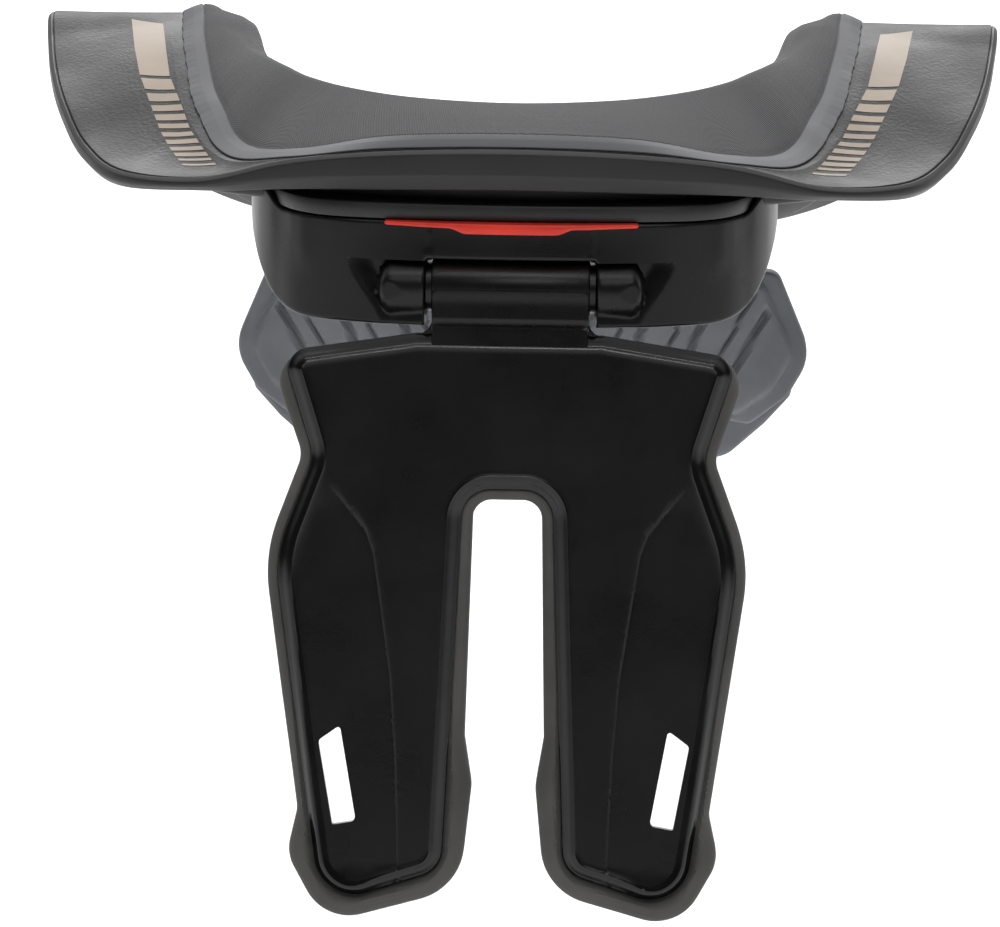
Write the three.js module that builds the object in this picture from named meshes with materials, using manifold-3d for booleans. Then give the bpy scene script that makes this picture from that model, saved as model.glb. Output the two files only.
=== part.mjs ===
// A motocross neck brace: a two-part helmet table round the neck, padded on its neck side, on a rear and a
// front chassis. A hinged strut hangs down the back with a foam pad behind it, and a ribbed pad rests on the
// chest.
// Millimetres. +Z is up as worn, -Y is the rear and +X is to the right in a view from the rear.
// The origin is the middle of the neck opening, level with the underside of the shoulder arches.
import * as THREE from "three";
import { mergeVertices } from "three/addons/utils/BufferGeometryUtils.js";
import Module from "manifold-3d";

const wasm = await Module();
wasm.setup();

// Driving dimensions
const GAP = 0.3; // between two pieces that rest on each other
const CURVED_GAP = 0.6; // the same between two curved surfaces made of facets
const PAST = 5; // how far a cutting solid reaches past what it cuts
const RING = { halfWidth: 149.5, rear: 121, front: 130 }; // the table's outer edge, from the origin
const NECK = { halfWidth: 86, rear: 80, front: 94 }; // the neck opening's edge, from the origin
const LEVEL = { crest: 14.6, rearRim: -16.3, frontRim: -78 }; // the shoulder crest and the two lower rims
const TABLE = { split: 9.28, splitGap: 3.6, dish: 2.2, edgeRound: 1.6, innerStep: 1.5 };
const COLLAR = { thick: 5, edgeThick: 2.6, roll: 3.2, wrap: 7, seam: 0.6 };
const BAND = { thick: 6.2, inner: 0.3, outer: 0.66 }; // the chassis arms under the table
const LIP = { radius: 128, halfWidth: 79, depth: 24, reach: 116, top: -21, thick: 4.8, taper: 3 };
const HINGE = { y: -109, z: -46.6, radius: 8.9, halfLength: 23.2, sideGap: 2 };
const PIN = { radius: 1.9, clearance: 0.3, cover: 2, endGap: 1 };
const KNUCKLE = { wide: 15, taper: 6, tip: 4, web: 10, sides: 24 };
const FRAME = {
  wall: 4, topThick: 4.6, topDepth: 23.5, scoop: 3.2, scoopTop: 50, scoopBottom: 42.5, above: 0.1,
};
const TAB = { halfWidth: 37, thick: 1.4, out: 3.5, depth: 15, radius: 104, travel: 6 };
const GRIP = { halfWidth: 13, slope: 5.5, drop: 1.6, depth: 4, setBack: 0.6 };
const STRUT = { tilt: 9, halfWidth: 68, tall: 178.5, face: 8.6, thick: 3.4, bevel: 3.8, bevelDrop: 2 };
const STRUT_NECK = { setBack: 0.4, top: 2 };
const SPINE = { halfWidth: 13.3, top: 59, corner: 9 }; // the slot between the strut's legs
const STRAP = { x: 49.2, toEnd: 37, long: 28.8, wide: 7, lean: 10, corner: 1.6, padMargin: 0.4 };
const PAD = { margin: 3.4, thick: 12, round: 3.4, toe: 1.9 };
const CHEST = { halfWidth: 97, top: -83.5, height: 78, y: 109, fold: 10, lean: 6 };
const CHEST_THICK = { pad: 8, relief: 2, liner: 5, plate: 3.5 };
const CHEST_EDGE = { flange: 1.4, panel: 1.6, liner: 1.5, plate: 0.8 };
const PANEL = { across: 0.945, up: 0.88, middle: 0.33 }; // the ribbed panel's share of the chest pad
const RIB = { pitch: 18, start: 12, thickGroove: 2.6, thinGroove: 1.3, pair: 7, depth: 1.6, edge: 8 };
const YOKE = { halfWidth: 30, thick: 4, below: 2 }; // joins the front chassis arms to the chest plate
const CLASP = { inner: 0.36, outer: 0.58, thick: 4, reach: 0.55 };

// The ring: a row for each station from the middle of the back to the front. inX and outX are shares of the
// half widths, inY and outY shares of the reach to the rear or the front. seal and seam are where the collar
// pad's bevel starts and ends, as shares of the way out, and roll is how wide the collar's edge is rolled, in
// units of its roll. The heights run from the lower rim, 0, to the shoulder crest, 1.
const COLUMNS = [
  "inX", "inY", "outX", "outY", "seal", "seam", "roll", "rim", "sealZ", "seamZ", "edge", "base", "under",
];
const REAR_ROWS = [
  [0, -1, 0, -1, 0.8, 0.965, 1, 0.65, 0.51, 0.42, 0.406, 0, -0.02],
  [0.33, -0.955, 0.255, -0.971, 0.8, 0.965, 1, 0.67, 0.455, 0.37, 0.35, -0.03, -0.02],
  [0.57, -0.815, 0.443, -0.917, 0.74, 0.95, 1, 0.7, 0.27, 0.235, 0.22, -0.076, 0.01],
  [0.715, -0.68, 0.617, -0.847, 0.56, 0.74, 1.1, 0.745, 0.185, 0.12, -0.01, -0.155, 0.1],
  [0.8, -0.56, 0.785, -0.736, 0.375, 0.525, 1.3, 0.8, 0.37, 0.295, -0.035, -0.18, 0.22],
  [0.868, -0.415, 0.872, -0.579, 0.31, 0.45, 1.5, 0.825, 0.54, 0.5, 0.11, -0.065, 0.36],
  [0.92, -0.25, 0.926, -0.413, 0.27, 0.395, 1.8, 0.84, 0.73, 0.695, 0.37, 0.17, 0.47],
  [0.957, -0.09, 0.963, -0.231, 0.25, 0.37, 2.2, 0.915, 0.9, 0.86, 0.59, 0.38, 0.56],
  [0.985, 0.06, 0.987, -0.045, 0.23, 0.35, 2.4, 1.01, 1.03, 0.95, 0.82, 0.6, 0.67],
  [1, 0.19, 1, 0.115, 0.23, 0.34, 2.4, 0.97, 1.06, 0.985, 0.985, 0.752, 0.66],
];
const FRONT_ROWS = [
  [0.99, 0.35, 0.985, 0.262, 0.24, 0.35, 2.2, 0.88, 0.905, 0.89, 0.89, 0.815, 0.765],
  [0.945, 0.51, 0.94, 0.408, 0.25, 0.36, 1.8, 0.755, 0.775, 0.755, 0.725, 0.65, 0.63],
  [0.845, 0.665, 0.859, 0.56, 0.25, 0.37, 1.4, 0.61, 0.62, 0.59, 0.53, 0.44, 0.47],
  [0.69, 0.8, 0.738, 0.71, 0.27, 0.4, 1.2, 0.48, 0.49, 0.45, 0.335, 0.235, 0.325],
  [0.485, 0.915, 0.55, 0.85, 0.3, 0.45, 1, 0.385, 0.37, 0.325, 0.19, 0.095, 0.225],
  [0.25, 0.985, 0.3, 0.955, 0.34, 0.5, 1, 0.33, 0.305, 0.25, 0.115, 0.025, 0.17],
  [0, 1, 0, 1, 0.36, 0.52, 1, 0.31, 0.28, 0.225, 0.09, 0, 0.15],
];

// The rear frame's outer wall in plan, from the middle to a side: shares of its half width and of its reach
// to the rear, with its lower edge as a share of its height.
const WALL = { halfWidth: 80.9, reach: 117.5, height: 31 };
const WALL_ROWS = [
  { x: 0.0, y: 1.0, low: 1.0 },
  { x: 0.31, y: 0.994, low: 1.0 },
  { x: 0.58, y: 0.962, low: 1.0 },
  { x: 0.78, y: 0.895, low: 1.0 },
  { x: 0.885, y: 0.82, low: 0.9 },
  { x: 0.95, y: 0.75, low: 0.66 },
  { x: 0.985, y: 0.68, low: 0.4 },
  { x: 1.0, y: 0.61, low: 0.2 },
];

// Outlines as corners: x and the fillet radius r are shares of the half width, and down is one of the height.
const STRUT_CORNERS = [
  { x: 0.4, down: 0.0755, r: 0.029 },
  { x: 0.978, down: 0.109, r: 0.09 },
  { x: 0.837, down: 0.28, r: 0.18 },
  { x: 1.0, down: 0.447, r: 0.62 },
  { x: 0.757, down: 1.015, r: 0.18 },
  { x: 0.28, down: 0.952, r: 0.12 },
];
const TOE_CORNERS = [
  { x: 0.895, down: 0.868, r: 0.13 },
  { x: 0.94, down: 0.945, r: 0.18 },
  { x: 0.77, down: 1.062, r: 0.29 },
  { x: 0.185, down: 1.0, r: 0.26 },
  { x: 0.138, down: 0.825, r: 0.18 },
  { x: 0.172, down: 0.745, r: 0.12 },
];
const CHEST_PAD_CORNERS = [
  { x: 0.6, down: -0.01, r: 0.21 },
  { x: 0.885, down: 0.0, r: 0.052 },
  { x: 1.01, down: 0.37, r: 0.21 },
  { x: 0.93, down: 0.56, r: 0.1 },
  { x: 0.8, down: 0.7, r: 0.052 },
  { x: 0.55, down: 0.66, r: 0.31 },
];
const CHEST_LINER_CORNERS = [
  { x: 0.55, down: 0.1, r: 0.1 },
  { x: 0.87, down: 0.16, r: 0.08 },
  { x: 0.975, down: 0.4, r: 0.12 },
  { x: 0.94, down: 0.58, r: 0.041 },
  { x: 0.855, down: 0.71, r: 0.08 },
  { x: 0.725, down: 0.87, r: 0.12 },
  { x: 0.42, down: 0.96, r: 0.31 },
];
const CHEST_PLATE_CORNERS = [
  { x: 0.5, down: -0.06, r: 0.12 },
  { x: 0.8, down: 0.12, r: 0.14 },
  { x: 0.9, down: 0.42, r: 0.19 },
  { x: 0.78, down: 0.72, r: 0.14 },
  { x: 0.5, down: 0.92, r: 0.16 },
];

const radians = THREE.MathUtils.degToRad;
const mix = THREE.MathUtils.lerp;

// Solids from meshes, and back again
function solid(geometry) {
  const bare = geometry.index ? geometry.toNonIndexed() : geometry.clone();
  bare.deleteAttribute("normal");
  bare.deleteAttribute("uv");
  const merged = mergeVertices(bare, 1e-4);
  return new wasm.Manifold(
    new wasm.Mesh({
      numProp: 3,
      vertProperties: merged.attributes.position.array,
      triVerts: new Uint32Array(merged.index.array),
    }),
  );
}

function geometryOf(made) {
  const { vertProperties, triVerts, numProp } = made.getMesh();
  const position = new Float32Array((vertProperties.length / numProp) * 3);
  for (let i = 0; i < position.length / 3; i++)
    for (let k = 0; k < 3; k++) position[i * 3 + k] = vertProperties[i * numProp + k];
  const geometry = new THREE.BufferGeometry();
  geometry.setAttribute("position", new THREE.BufferAttribute(position, 3));
  geometry.setIndex(new THREE.BufferAttribute(new Uint32Array(triVerts), 1));
  return geometry;
}

// A closed surface through sections of equal length, each a list of Vector3, with flat ends
function loft(sections) {
  const count = sections[0].length;
  const positions = sections.flat().flatMap((p) => [p.x, p.y, p.z]);
  const faces = [];
  for (let s = 0; s + 1 < sections.length; s++)
    for (let k = 0; k < count; k++) {
      const a = s * count + k;
      const b = s * count + ((k + 1) % count);
      faces.push(a, b, b + count, a, b + count, a + count);
    }
  const capOf = (section) => {
    const [o, u, v] = sectionPlane(section);
    const flat = section.map((p) => new THREE.Vector2(p.clone().sub(o).dot(u), p.clone().sub(o).dot(v)));
    const turned = THREE.ShapeUtils.isClockWise(flat);
    const triangles = THREE.ShapeUtils.triangulateShape(turned ? [...flat].reverse() : flat, []);
    return triangles.map((t) => (turned ? t.map((i) => count - 1 - i).reverse() : t));
  };
  const last = (sections.length - 1) * count;
  for (const t of capOf(sections[0])) faces.push(t[0], t[2], t[1]);
  for (const t of capOf(sections[sections.length - 1])) faces.push(last + t[0], last + t[1], last + t[2]);
  const geometry = new THREE.BufferGeometry();
  geometry.setAttribute("position", new THREE.Float32BufferAttribute(positions, 3));
  geometry.setIndex(faces);
  const made = solid(geometry);
  if (made.volume() > 0) return made;
  for (let i = 0; i < faces.length; i += 3) [faces[i + 1], faces[i + 2]] = [faces[i + 2], faces[i + 1]];
  geometry.setIndex(faces);
  return solid(geometry);
}

function sectionPlane(section) {
  const middle = section.reduce((sum, p) => sum.add(p), new THREE.Vector3()).divideScalar(section.length);
  const normal = new THREE.Vector3();
  section.forEach((p, i) => {
    const next = section[(i + 1) % section.length];
    normal.add(p.clone().sub(middle).cross(next.clone().sub(middle)));
  });
  normal.normalize();
  const u = section[0].clone().sub(middle);
  u.addScaledVector(normal, -u.dot(normal)).normalize();
  return [middle, u, normal.clone().cross(u)];
}

// Rounded outlines: corners { x, y, r } in order, each turned into an arc of the same number of points
const ARC_STEPS = 4;
const ARC_REACH = 1.2; // an arc starts at least this far from its corner, so that a blunt corner has one too
const LEAST_RADIUS = 0.4; // what an inset leaves of a fillet

function rounded(corners) {
  return corners.flatMap((corner, i) => {
    const here = new THREE.Vector2(corner.x, corner.y);
    const before = corners[(i + corners.length - 1) % corners.length];
    const after = corners[(i + 1) % corners.length];
    const toBefore = new THREE.Vector2(before.x, before.y).sub(here);
    const toAfter = new THREE.Vector2(after.x, after.y).sub(here);
    const half = toBefore.angleTo(toAfter) / 2;
    const room = 0.47 * Math.min(toBefore.length(), toAfter.length());
    const back = Math.min(Math.max(corner.r / Math.tan(half), ARC_REACH), room);
    const radius = back * Math.tan(half);
    const bisector = toBefore.clone().normalize().add(toAfter.clone().normalize()).normalize();
    const centre = here.clone().addScaledVector(bisector, radius / Math.sin(half));
    const start = here.clone().addScaledVector(toBefore.normalize(), back).sub(centre);
    const end = here.clone().addScaledVector(toAfter.normalize(), back).sub(centre);
    const sweep = Math.atan2(start.cross(end), start.dot(end));
    return Array.from({ length: ARC_STEPS + 1 }, (_, k) =>
      start.clone().rotateAround(new THREE.Vector2(), (sweep * k) / ARC_STEPS).add(centre),
    );
  });
}

// The same corners moved in by a distance, or out by a negative one
function inset(corners, distance) {
  const area = corners.reduce((sum, c, i) => {
    const next = corners[(i + 1) % corners.length];
    return sum + c.x * next.y - next.x * c.y;
  }, 0);
  const side = Math.sign(area);
  const edges = corners.map((c, i) => {
    const next = corners[(i + 1) % corners.length];
    const along = new THREE.Vector2(next.x - c.x, next.y - c.y).normalize();
    const inward = new THREE.Vector2(-along.y, along.x).multiplyScalar(side * distance);
    return { point: new THREE.Vector2(c.x, c.y).add(inward), along };
  });
  return corners.map((c, i) => {
    const a = edges[(i + edges.length - 1) % edges.length];
    const b = edges[i];
    const turn = a.along.cross(b.along);
    const share = b.point.clone().sub(a.point).cross(b.along) / turn;
    const point = a.point.clone().addScaledVector(a.along, share);
    const convex = turn * side > 0;
    return { x: point.x, y: point.y, r: Math.max(LEAST_RADIUS, c.r + (convex ? -distance : distance)) };
  });
}

// Both sides of an outline that is given for the right one, from its top down
function bothSides(corners) {
  return [...corners, ...[...corners].reverse().map((c) => ({ ...c, x: -c.x }))];
}

// A solid through outlines that lie at different depths along an axis, "y" or "z"
function stack(layers, axis = "y") {
  const place = (p, at) => (axis === "y" ? new THREE.Vector3(p.x, at, p.y) : new THREE.Vector3(p.x, p.y, at));
  return loft(layers.map(({ outline, at }) => outline.map((p) => place(p, at))));
}

function block(x0, x1, y0, y1, z0, z1) {
  const geometry = new THREE.BoxGeometry(x1 - x0, y1 - y0, z1 - z0);
  return solid(geometry.translate((x0 + x1) / 2, (y0 + y1) / 2, (z0 + z1) / 2));
}

// A round bar along X, which may taper from one radius to another
function bar(radius, x0, x1, sides, y = 0, z = 0, endRadius = radius) {
  const geometry = new THREE.CylinderGeometry(radius, endRadius, x1 - x0, sides);
  return solid(geometry.rotateZ(Math.PI / 2).rotateX(Math.PI / sides).translate((x0 + x1) / 2, y, z));
}

// The ring's stations in millimetres
function station(row, low) {
  const shares = Object.fromEntries(COLUMNS.map((key, i) => [key, row[i]]));
  const reach = (share, size) => share * (share < 0 ? size.rear : size.front);
  const height = (share) => mix(low, LEVEL.crest, share);
  const heights = ["rim", "sealZ", "seamZ", "edge", "base", "under"].map((key) => [key, height(shares[key])]);
  return {
    ...shares,
    inX: shares.inX * NECK.halfWidth,
    inY: reach(shares.inY, NECK),
    outX: shares.outX * RING.halfWidth,
    outY: reach(shares.outY, RING),
    ...Object.fromEntries(heights),
  };
}
const STATIONS = [
  ...REAR_ROWS.map((row) => station(row, LEVEL.rearRim)),
  ...FRONT_ROWS.map((row) => station(row, LEVEL.frontRim)),
];
const LAST = STATIONS.length - 1;

// Any column at any place along the ring, smooth through the stations and mirrored past both middles
function along(key, u) {
  const mirrored = key === "inX" || key === "outX" ? -1 : 1;
  const value = (i) => {
    if (i < 0) return mirrored * STATIONS[-i][key];
    if (i > LAST) return mirrored * STATIONS[2 * LAST - i][key];
    return STATIONS[i][key];
  };
  const i = Math.min(Math.floor(u), LAST - 1);
  const t = u - i;
  const [a, b, c, d] = [value(i - 1), value(i), value(i + 1), value(i + 2)];
  return b + 0.5 * t * (c - a + t * (2 * a - 5 * b + 4 * c - d + t * (3 * (b - c) + d - a)));
}

// A point of the ring: place u on the given side, share of the way out and height
function ringPoint(u, side, share, z, out = 0) {
  const [inX, inY, outX, outY] = ["inX", "inY", "outX", "outY"].map((key) => along(key, u));
  const way = new THREE.Vector2(outX - inX, outY - inY);
  const extra = out / way.length();
  return new THREE.Vector3(side * mix(inX, outX, share + extra), mix(inY, outY, share + extra), z);
}

// The underside of the table at a share of the way out
const underside = (u, share) => mix(along("under", u), along("base", u), share);

// A solid along the ring from one end to the other through the middle, or along one side only
function ringLoft(section, from, to, steps) {
  const places = Array.from({ length: steps + 1 }, (_, k) => mix(from, to, k / steps));
  const throughMiddle = from === 0 || to === LAST;
  if (!throughMiddle) return (side) => loft(places.map((u) => section(u, side)));
  const outward = from === 0 ? places : [...places].reverse();
  const left = outward.slice(1).reverse().map((u) => section(u, -1));
  return loft([...left, ...outward.map((u) => section(u, 1))]);
}

// Table and collar: the collar covers the inner part of the table, out to the seam
const tableTopInner = (u) => along("rim", u) - COLLAR.thick - CURVED_GAP;
const tableTopSeal = (u) => along("sealZ", u) - COLLAR.edgeThick - CURVED_GAP;

function tableSection(u, side) {
  const keys = ["seal", "seam", "seamZ", "edge", "base"];
  const [seal, seam, seamZ, edge, base] = keys.map((key) => along(key, u));
  const wing = (share) => mix(seam, 1, share);
  const dish = TABLE.dish * THREE.MathUtils.clamp((1 - seam) / 0.5, 0, 1);
  const round = TABLE.edgeRound;
  return [
    ringPoint(u, side, 0, tableTopInner(u), TABLE.innerStep),
    ringPoint(u, side, seal, tableTopSeal(u)),
    ringPoint(u, side, seam, seamZ - CURVED_GAP),
    ringPoint(u, side, wing(0.35), mix(seamZ, edge, 0.35) - dish),
    ringPoint(u, side, wing(0.7), mix(seamZ, edge, 0.7) - dish),
    ringPoint(u, side, 1, edge, -round),
    ringPoint(u, side, 1, edge - round),
    ringPoint(u, side, 1, mix(edge, base, 0.6)),
    ringPoint(u, side, 1, base, -2 * round),
    ringPoint(u, side, 0.5, underside(u, 0.5)),
    ringPoint(u, side, 0, underside(u, 0), TABLE.innerStep),
  ];
}

function collarSection(u, side) {
  const columns = ["seal", "seam", "roll", "rim", "sealZ", "seamZ"];
  const [seal, seam, roll, rim, sealZ, seamZ] = columns.map((key) => along(key, u));
  const wall = tableTopInner(u) - COLLAR.wrap;
  return [
    ringPoint(u, side, 0, tableTopInner(u) + CURVED_GAP, TABLE.innerStep - GAP),
    ringPoint(u, side, seal, tableTopSeal(u) + CURVED_GAP),
    ringPoint(u, side, seam, seamZ, -COLLAR.seam),
    ringPoint(u, side, seam, seamZ + GAP, -COLLAR.seam),
    ringPoint(u, side, seal, sealZ),
    ringPoint(u, side, 0.55 * seal, mix(rim, sealZ, 0.5)),
    ringPoint(u, side, 0, rim, roll * COLLAR.roll),
    ringPoint(u, side, 0, rim - 0.45 * COLLAR.roll, mix(-1, roll, 0.5) * COLLAR.roll),
    ringPoint(u, side, 0, rim - 1.3 * COLLAR.roll, mix(-1, roll, 0.12) * COLLAR.roll),
    ringPoint(u, side, 0, rim - 2.3 * COLLAR.roll, -COLLAR.roll),
    ringPoint(u, side, 0, wall, -COLLAR.roll),
    ringPoint(u, side, 0, wall, TABLE.innerStep - GAP),
  ];
}

const REAR_STEPS = 28;
const FRONT_STEPS = 20;
const crest = Math.floor(TABLE.split);
const stationLength = ringPoint(crest, 1, 0.5, 0).distanceTo(ringPoint(crest + 1, 1, 0.5, 0));
const splitHalf = TABLE.splitGap / 2 / stationLength;
const rearEnd = TABLE.split - splitHalf;
const frontStart = TABLE.split + splitHalf;

const rearTable = ringLoft(tableSection, 0, rearEnd, REAR_STEPS);
const rearCollar = ringLoft(collarSection, 0, rearEnd, REAR_STEPS);
const frontTable = ringLoft(tableSection, frontStart, LAST, FRONT_STEPS);
const frontCollar = ringLoft(collarSection, frontStart, LAST, FRONT_STEPS);

// Chassis arms under the table
function bandSection(u, side, inner = BAND.inner, outer = BAND.outer, drop = CURVED_GAP, thick = BAND.thick) {
  const round = thick / 4;
  const top = (share) => underside(u, share) - drop;
  return [
    ringPoint(u, side, outer, top(outer)),
    ringPoint(u, side, 0.5, top(0.5)),
    ringPoint(u, side, inner, top(inner)),
    ringPoint(u, side, inner, top(inner) - thick + round),
    ringPoint(u, side, inner, top(inner) - thick, 2 * round),
    ringPoint(u, side, outer, top(outer) - thick, -2 * round),
    ringPoint(u, side, outer, top(outer) - thick + round),
  ];
}

// Points of an arc that bulges to the rear, its middle at -reach
function rearArc(radius, reach, halfWidth, steps) {
  return Array.from({ length: steps + 1 }, (_, k) => {
    const x = mix(-halfWidth, halfWidth, k / steps);
    return new THREE.Vector2(x, -reach + radius - Math.sqrt(radius * radius - x * x));
  });
}

// The lip that shows under the rear table, with the arms that run forward to the shoulders
function rearChassis() {
  const rear = rearArc(LIP.radius, LIP.reach, LIP.halfWidth, 20);
  const front = rearArc(LIP.radius, LIP.reach - LIP.depth, LIP.halfWidth - LIP.taper, 20).reverse();
  const outline = [...rear, ...front];
  const lip = stack([{ outline, at: LIP.top - LIP.thick }, { outline, at: LIP.top }], "z");
  return lip.add(ringLoft(bandSection, 0, rearEnd, REAR_STEPS));
}

// The rear frame: a curved hood under the lip that holds the hinge
const lipBottom = LIP.top - LIP.thick;
const frameTop = lipBottom - GAP;

// How far forward the wall's top leans from its lower edge, so that it stays under the lip
function wallLean(x, y) {
  const arc = -LIP.reach + LIP.radius - Math.sqrt(Math.max(LIP.radius ** 2 - x * x, 0));
  return Math.abs(x) < LIP.halfWidth ? Math.max(arc + FRAME.above - y, 0) : 0;
}

function wallSection(row, side) {
  const outer = new THREE.Vector2(row.x * WALL.halfWidth * side, -row.y * WALL.reach);
  const inner = new THREE.Vector2(outer.x - row.nx * side * FRAME.wall, outer.y + row.ny * FRAME.wall);
  const low = frameTop - row.low * WALL.height;
  const lean = wallLean(outer.x, outer.y);
  const chamfer = FRAME.wall / 3;
  const soft = outer.clone().lerp(inner, 0.3);
  return [
    new THREE.Vector3(outer.x, outer.y + lean, frameTop),
    new THREE.Vector3(outer.x, outer.y, low + chamfer),
    new THREE.Vector3(soft.x, soft.y, low),
    new THREE.Vector3(inner.x, inner.y, low),
    new THREE.Vector3(inner.x, inner.y + lean, frameTop),
  ];
}

function wallRows(steps) {
  const keys = ["x", "y", "low"];
  const last = WALL_ROWS.length - 1;
  const value = (key, i) => {
    if (i < 0) return (key === "x" ? -1 : 1) * WALL_ROWS[-i][key];
    return WALL_ROWS[Math.min(i, last)][key];
  };
  const rows = Array.from({ length: steps + 1 }, (_, k) => {
    const u = (last * k) / steps;
    const i = Math.min(Math.floor(u), last - 1);
    const t = u - i;
    return Object.fromEntries(
      keys.map((key) => {
        const [a, b, c, d] = [-1, 0, 1, 2].map((step) => value(key, i + step));
        return [key, b + 0.5 * t * (c - a + t * (2 * a - 5 * b + 4 * c - d + t * (3 * (b - c) + d - a)))];
      }),
    );
  });
  return rows.map((row, k) => {
    const [before, after] = [rows[Math.max(k - 1, 0)], rows[Math.min(k + 1, steps)]];
    const way = new THREE.Vector2((after.x - before.x) * WALL.halfWidth, (before.y - after.y) * WALL.reach);
    if (k === 0) way.set(1, 0);
    way.normalize();
    return { ...row, nx: way.y, ny: way.x };
  });
}

const tabReach = LIP.reach + TAB.out;

function tabOutline(extra, travel = 0) {
  const rear = rearArc(TAB.radius, tabReach + extra + travel, TAB.halfWidth + extra, 12);
  const front = -tabReach + TAB.depth + extra;
  const half = TAB.halfWidth + extra;
  return [...rear, new THREE.Vector2(half, front), new THREE.Vector2(-half, front)];
}

const tabTop = lipBottom - GAP;
const tabBottom = tabTop - TAB.thick;
const hingeSide = HINGE.halfLength + HINGE.sideGap;
const hingeTop = HINGE.z + HINGE.radius + FRAME.above;
const wallBottom = frameTop - WALL.height;

// A solid of the same outline, in X and Z, from behind the wall to a place along Y
function fromBehind(corners, y) {
  const outline = corners.map(([x, z]) => new THREE.Vector2(x, z));
  return stack([{ outline, at: -WALL.reach - PAST }, { outline, at: y }]);
}

// The barrel's room goes right through the wall, and a scoop on each side of it leaves the knuckles standing
function hingeRoom() {
  const low = wallBottom - PAST;
  const corners = [[-hingeSide, hingeTop], [hingeSide, hingeTop], [hingeSide, low], [-hingeSide, low]];
  const room = fromBehind(corners, HINGE.y + 2 * HINGE.radius);
  const edge = [[-FRAME.scoopTop, hingeTop], [FRAME.scoopTop, hingeTop], [FRAME.scoopBottom, low],
    [-FRAME.scoopBottom, low]];
  return room.add(fromBehind(edge, -WALL.reach + FRAME.scoop));
}

function knuckle(side) {
  const at = (x) => side * x;
  const long = hingeSide + KNUCKLE.wide;
  const [x0, x1] = [at(hingeSide), at(long)].sort((a, b) => a - b);
  const [t0, t1] = [at(long), at(long + KNUCKLE.taper)].sort((a, b) => a - b);
  const ends = side > 0 ? [HINGE.radius, KNUCKLE.tip] : [KNUCKLE.tip, HINGE.radius];
  const round = bar(HINGE.radius, x0, x1, KNUCKLE.sides, HINGE.y, HINGE.z);
  const tip = bar(ends[0], t0, t1, KNUCKLE.sides, HINGE.y, HINGE.z, ends[1]);
  const [y0, y1] = [HINGE.y - KNUCKLE.web / 2, HINGE.y + KNUCKLE.web / 2];
  return round.add(tip).add(block(x0, x1, y0, y1, HINGE.z, frameTop - FRAME.topThick / 2));
}

function rearFrame() {
  const rows = wallRows(16);
  const left = rows.slice(1).reverse().map((row) => wallSection(row, -1));
  const wall = loft([...left, ...rows.map((row) => wallSection(row, 1))]);
  const shelfEdge = rows.filter((row) => row.y * WALL.reach > WALL.reach - FRAME.topDepth).map((row) => {
    const [x, y] = [row.x * WALL.halfWidth, -row.y * WALL.reach];
    return new THREE.Vector2(x - (row.nx * FRAME.wall) / 2, y + (row.ny * FRAME.wall) / 2 + wallLean(x, y));
  });
  const rim = [...shelfEdge.slice(1).reverse().map((p) => new THREE.Vector2(-p.x, p.y)), ...shelfEdge];
  const shelf = stack([{ outline: rim, at: frameTop - FRAME.topThick }, { outline: rim, at: frameTop }], "z");
  const reach = hingeSide + KNUCKLE.wide - PIN.cover;
  const bore = bar(PIN.radius + PIN.clearance, -reach, reach, 12, HINGE.y, HINGE.z);
  const outline = tabOutline(GAP, TAB.travel);
  const pocket = stack([{ outline, at: tabBottom - GAP }, { outline, at: frameTop + PAST }], "z");
  const notch = GRIP.halfWidth + GRIP.slope + GAP;
  const gripFront = -tabReach + GRIP.depth + GAP;
  const gripRoom = block(-notch, notch, -tabReach - TAB.travel, gripFront, tabBottom - GRIP.drop - GAP,
    frameTop + PAST);
  return wall.add(shelf).subtract(hingeRoom()).add(knuckle(-1)).add(knuckle(1))
    .subtract(bore).subtract(pocket).subtract(gripRoom);
}

// The red lock tab: a thin plate with a deeper grip at its middle
function lockTab() {
  const outline = tabOutline(0);
  const plate = stack([{ outline, at: tabBottom }, { outline, at: tabTop }], "z");
  const [wide, low] = [GRIP.halfWidth + GRIP.slope, tabBottom - GRIP.drop];
  const profile = [
    new THREE.Vector2(-wide, tabBottom + TAB.thick / 2),
    new THREE.Vector2(wide, tabBottom + TAB.thick / 2),
    new THREE.Vector2(GRIP.halfWidth, low),
    new THREE.Vector2(-GRIP.halfWidth, low),
  ];
  const [rear, front] = [-tabReach + GRIP.setBack, -tabReach + GRIP.depth];
  return plate.add(stack([{ outline: profile, at: rear }, { outline: profile, at: front }]));
}

function hingePin() {
  const half = hingeSide + KNUCKLE.wide - PIN.cover - PIN.endGap;
  return bar(PIN.radius, -half, half, 12, HINGE.y, HINGE.z);
}

// The strut, in its own frame: the hinge axis is its origin, and it hangs straight down
const strutCorner = (c) => ({ x: c.x * STRUT.halfWidth, y: -c.down * STRUT.tall, r: c.r * STRUT.halfWidth });
const plateBack = -STRUT.face + STRUT.thick;
const legEnd = Math.max(...STRUT_CORNERS.map((c) => c.down)) * STRUT.tall;

function plateCorners() {
  const slot = { x: SPINE.halfWidth, y: -SPINE.top, r: SPINE.corner };
  return bothSides([...STRUT_CORNERS.map(strutCorner), slot]);
}

function strapSlot(side, extra) {
  const [w, h] = [STRAP.wide / 2 + extra, STRAP.long / 2 + extra];
  const corner = (x, y) => ({ x, y, r: STRAP.corner });
  const middle = new THREE.Vector2(STRAP.x, STRAP.toEnd - legEnd);
  const turned = rounded([corner(-w, h), corner(w, h), corner(w, -h), corner(-w, -h)]).map((p) =>
    p.rotateAround(new THREE.Vector2(), radians(-STRAP.lean)).add(middle),
  );
  const outline = turned.map((p) => new THREE.Vector2(p.x * side, p.y));
  return stack([{ outline, at: -STRUT.face - PAST }, { outline, at: PAD.thick + PAST }]);
}

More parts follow.
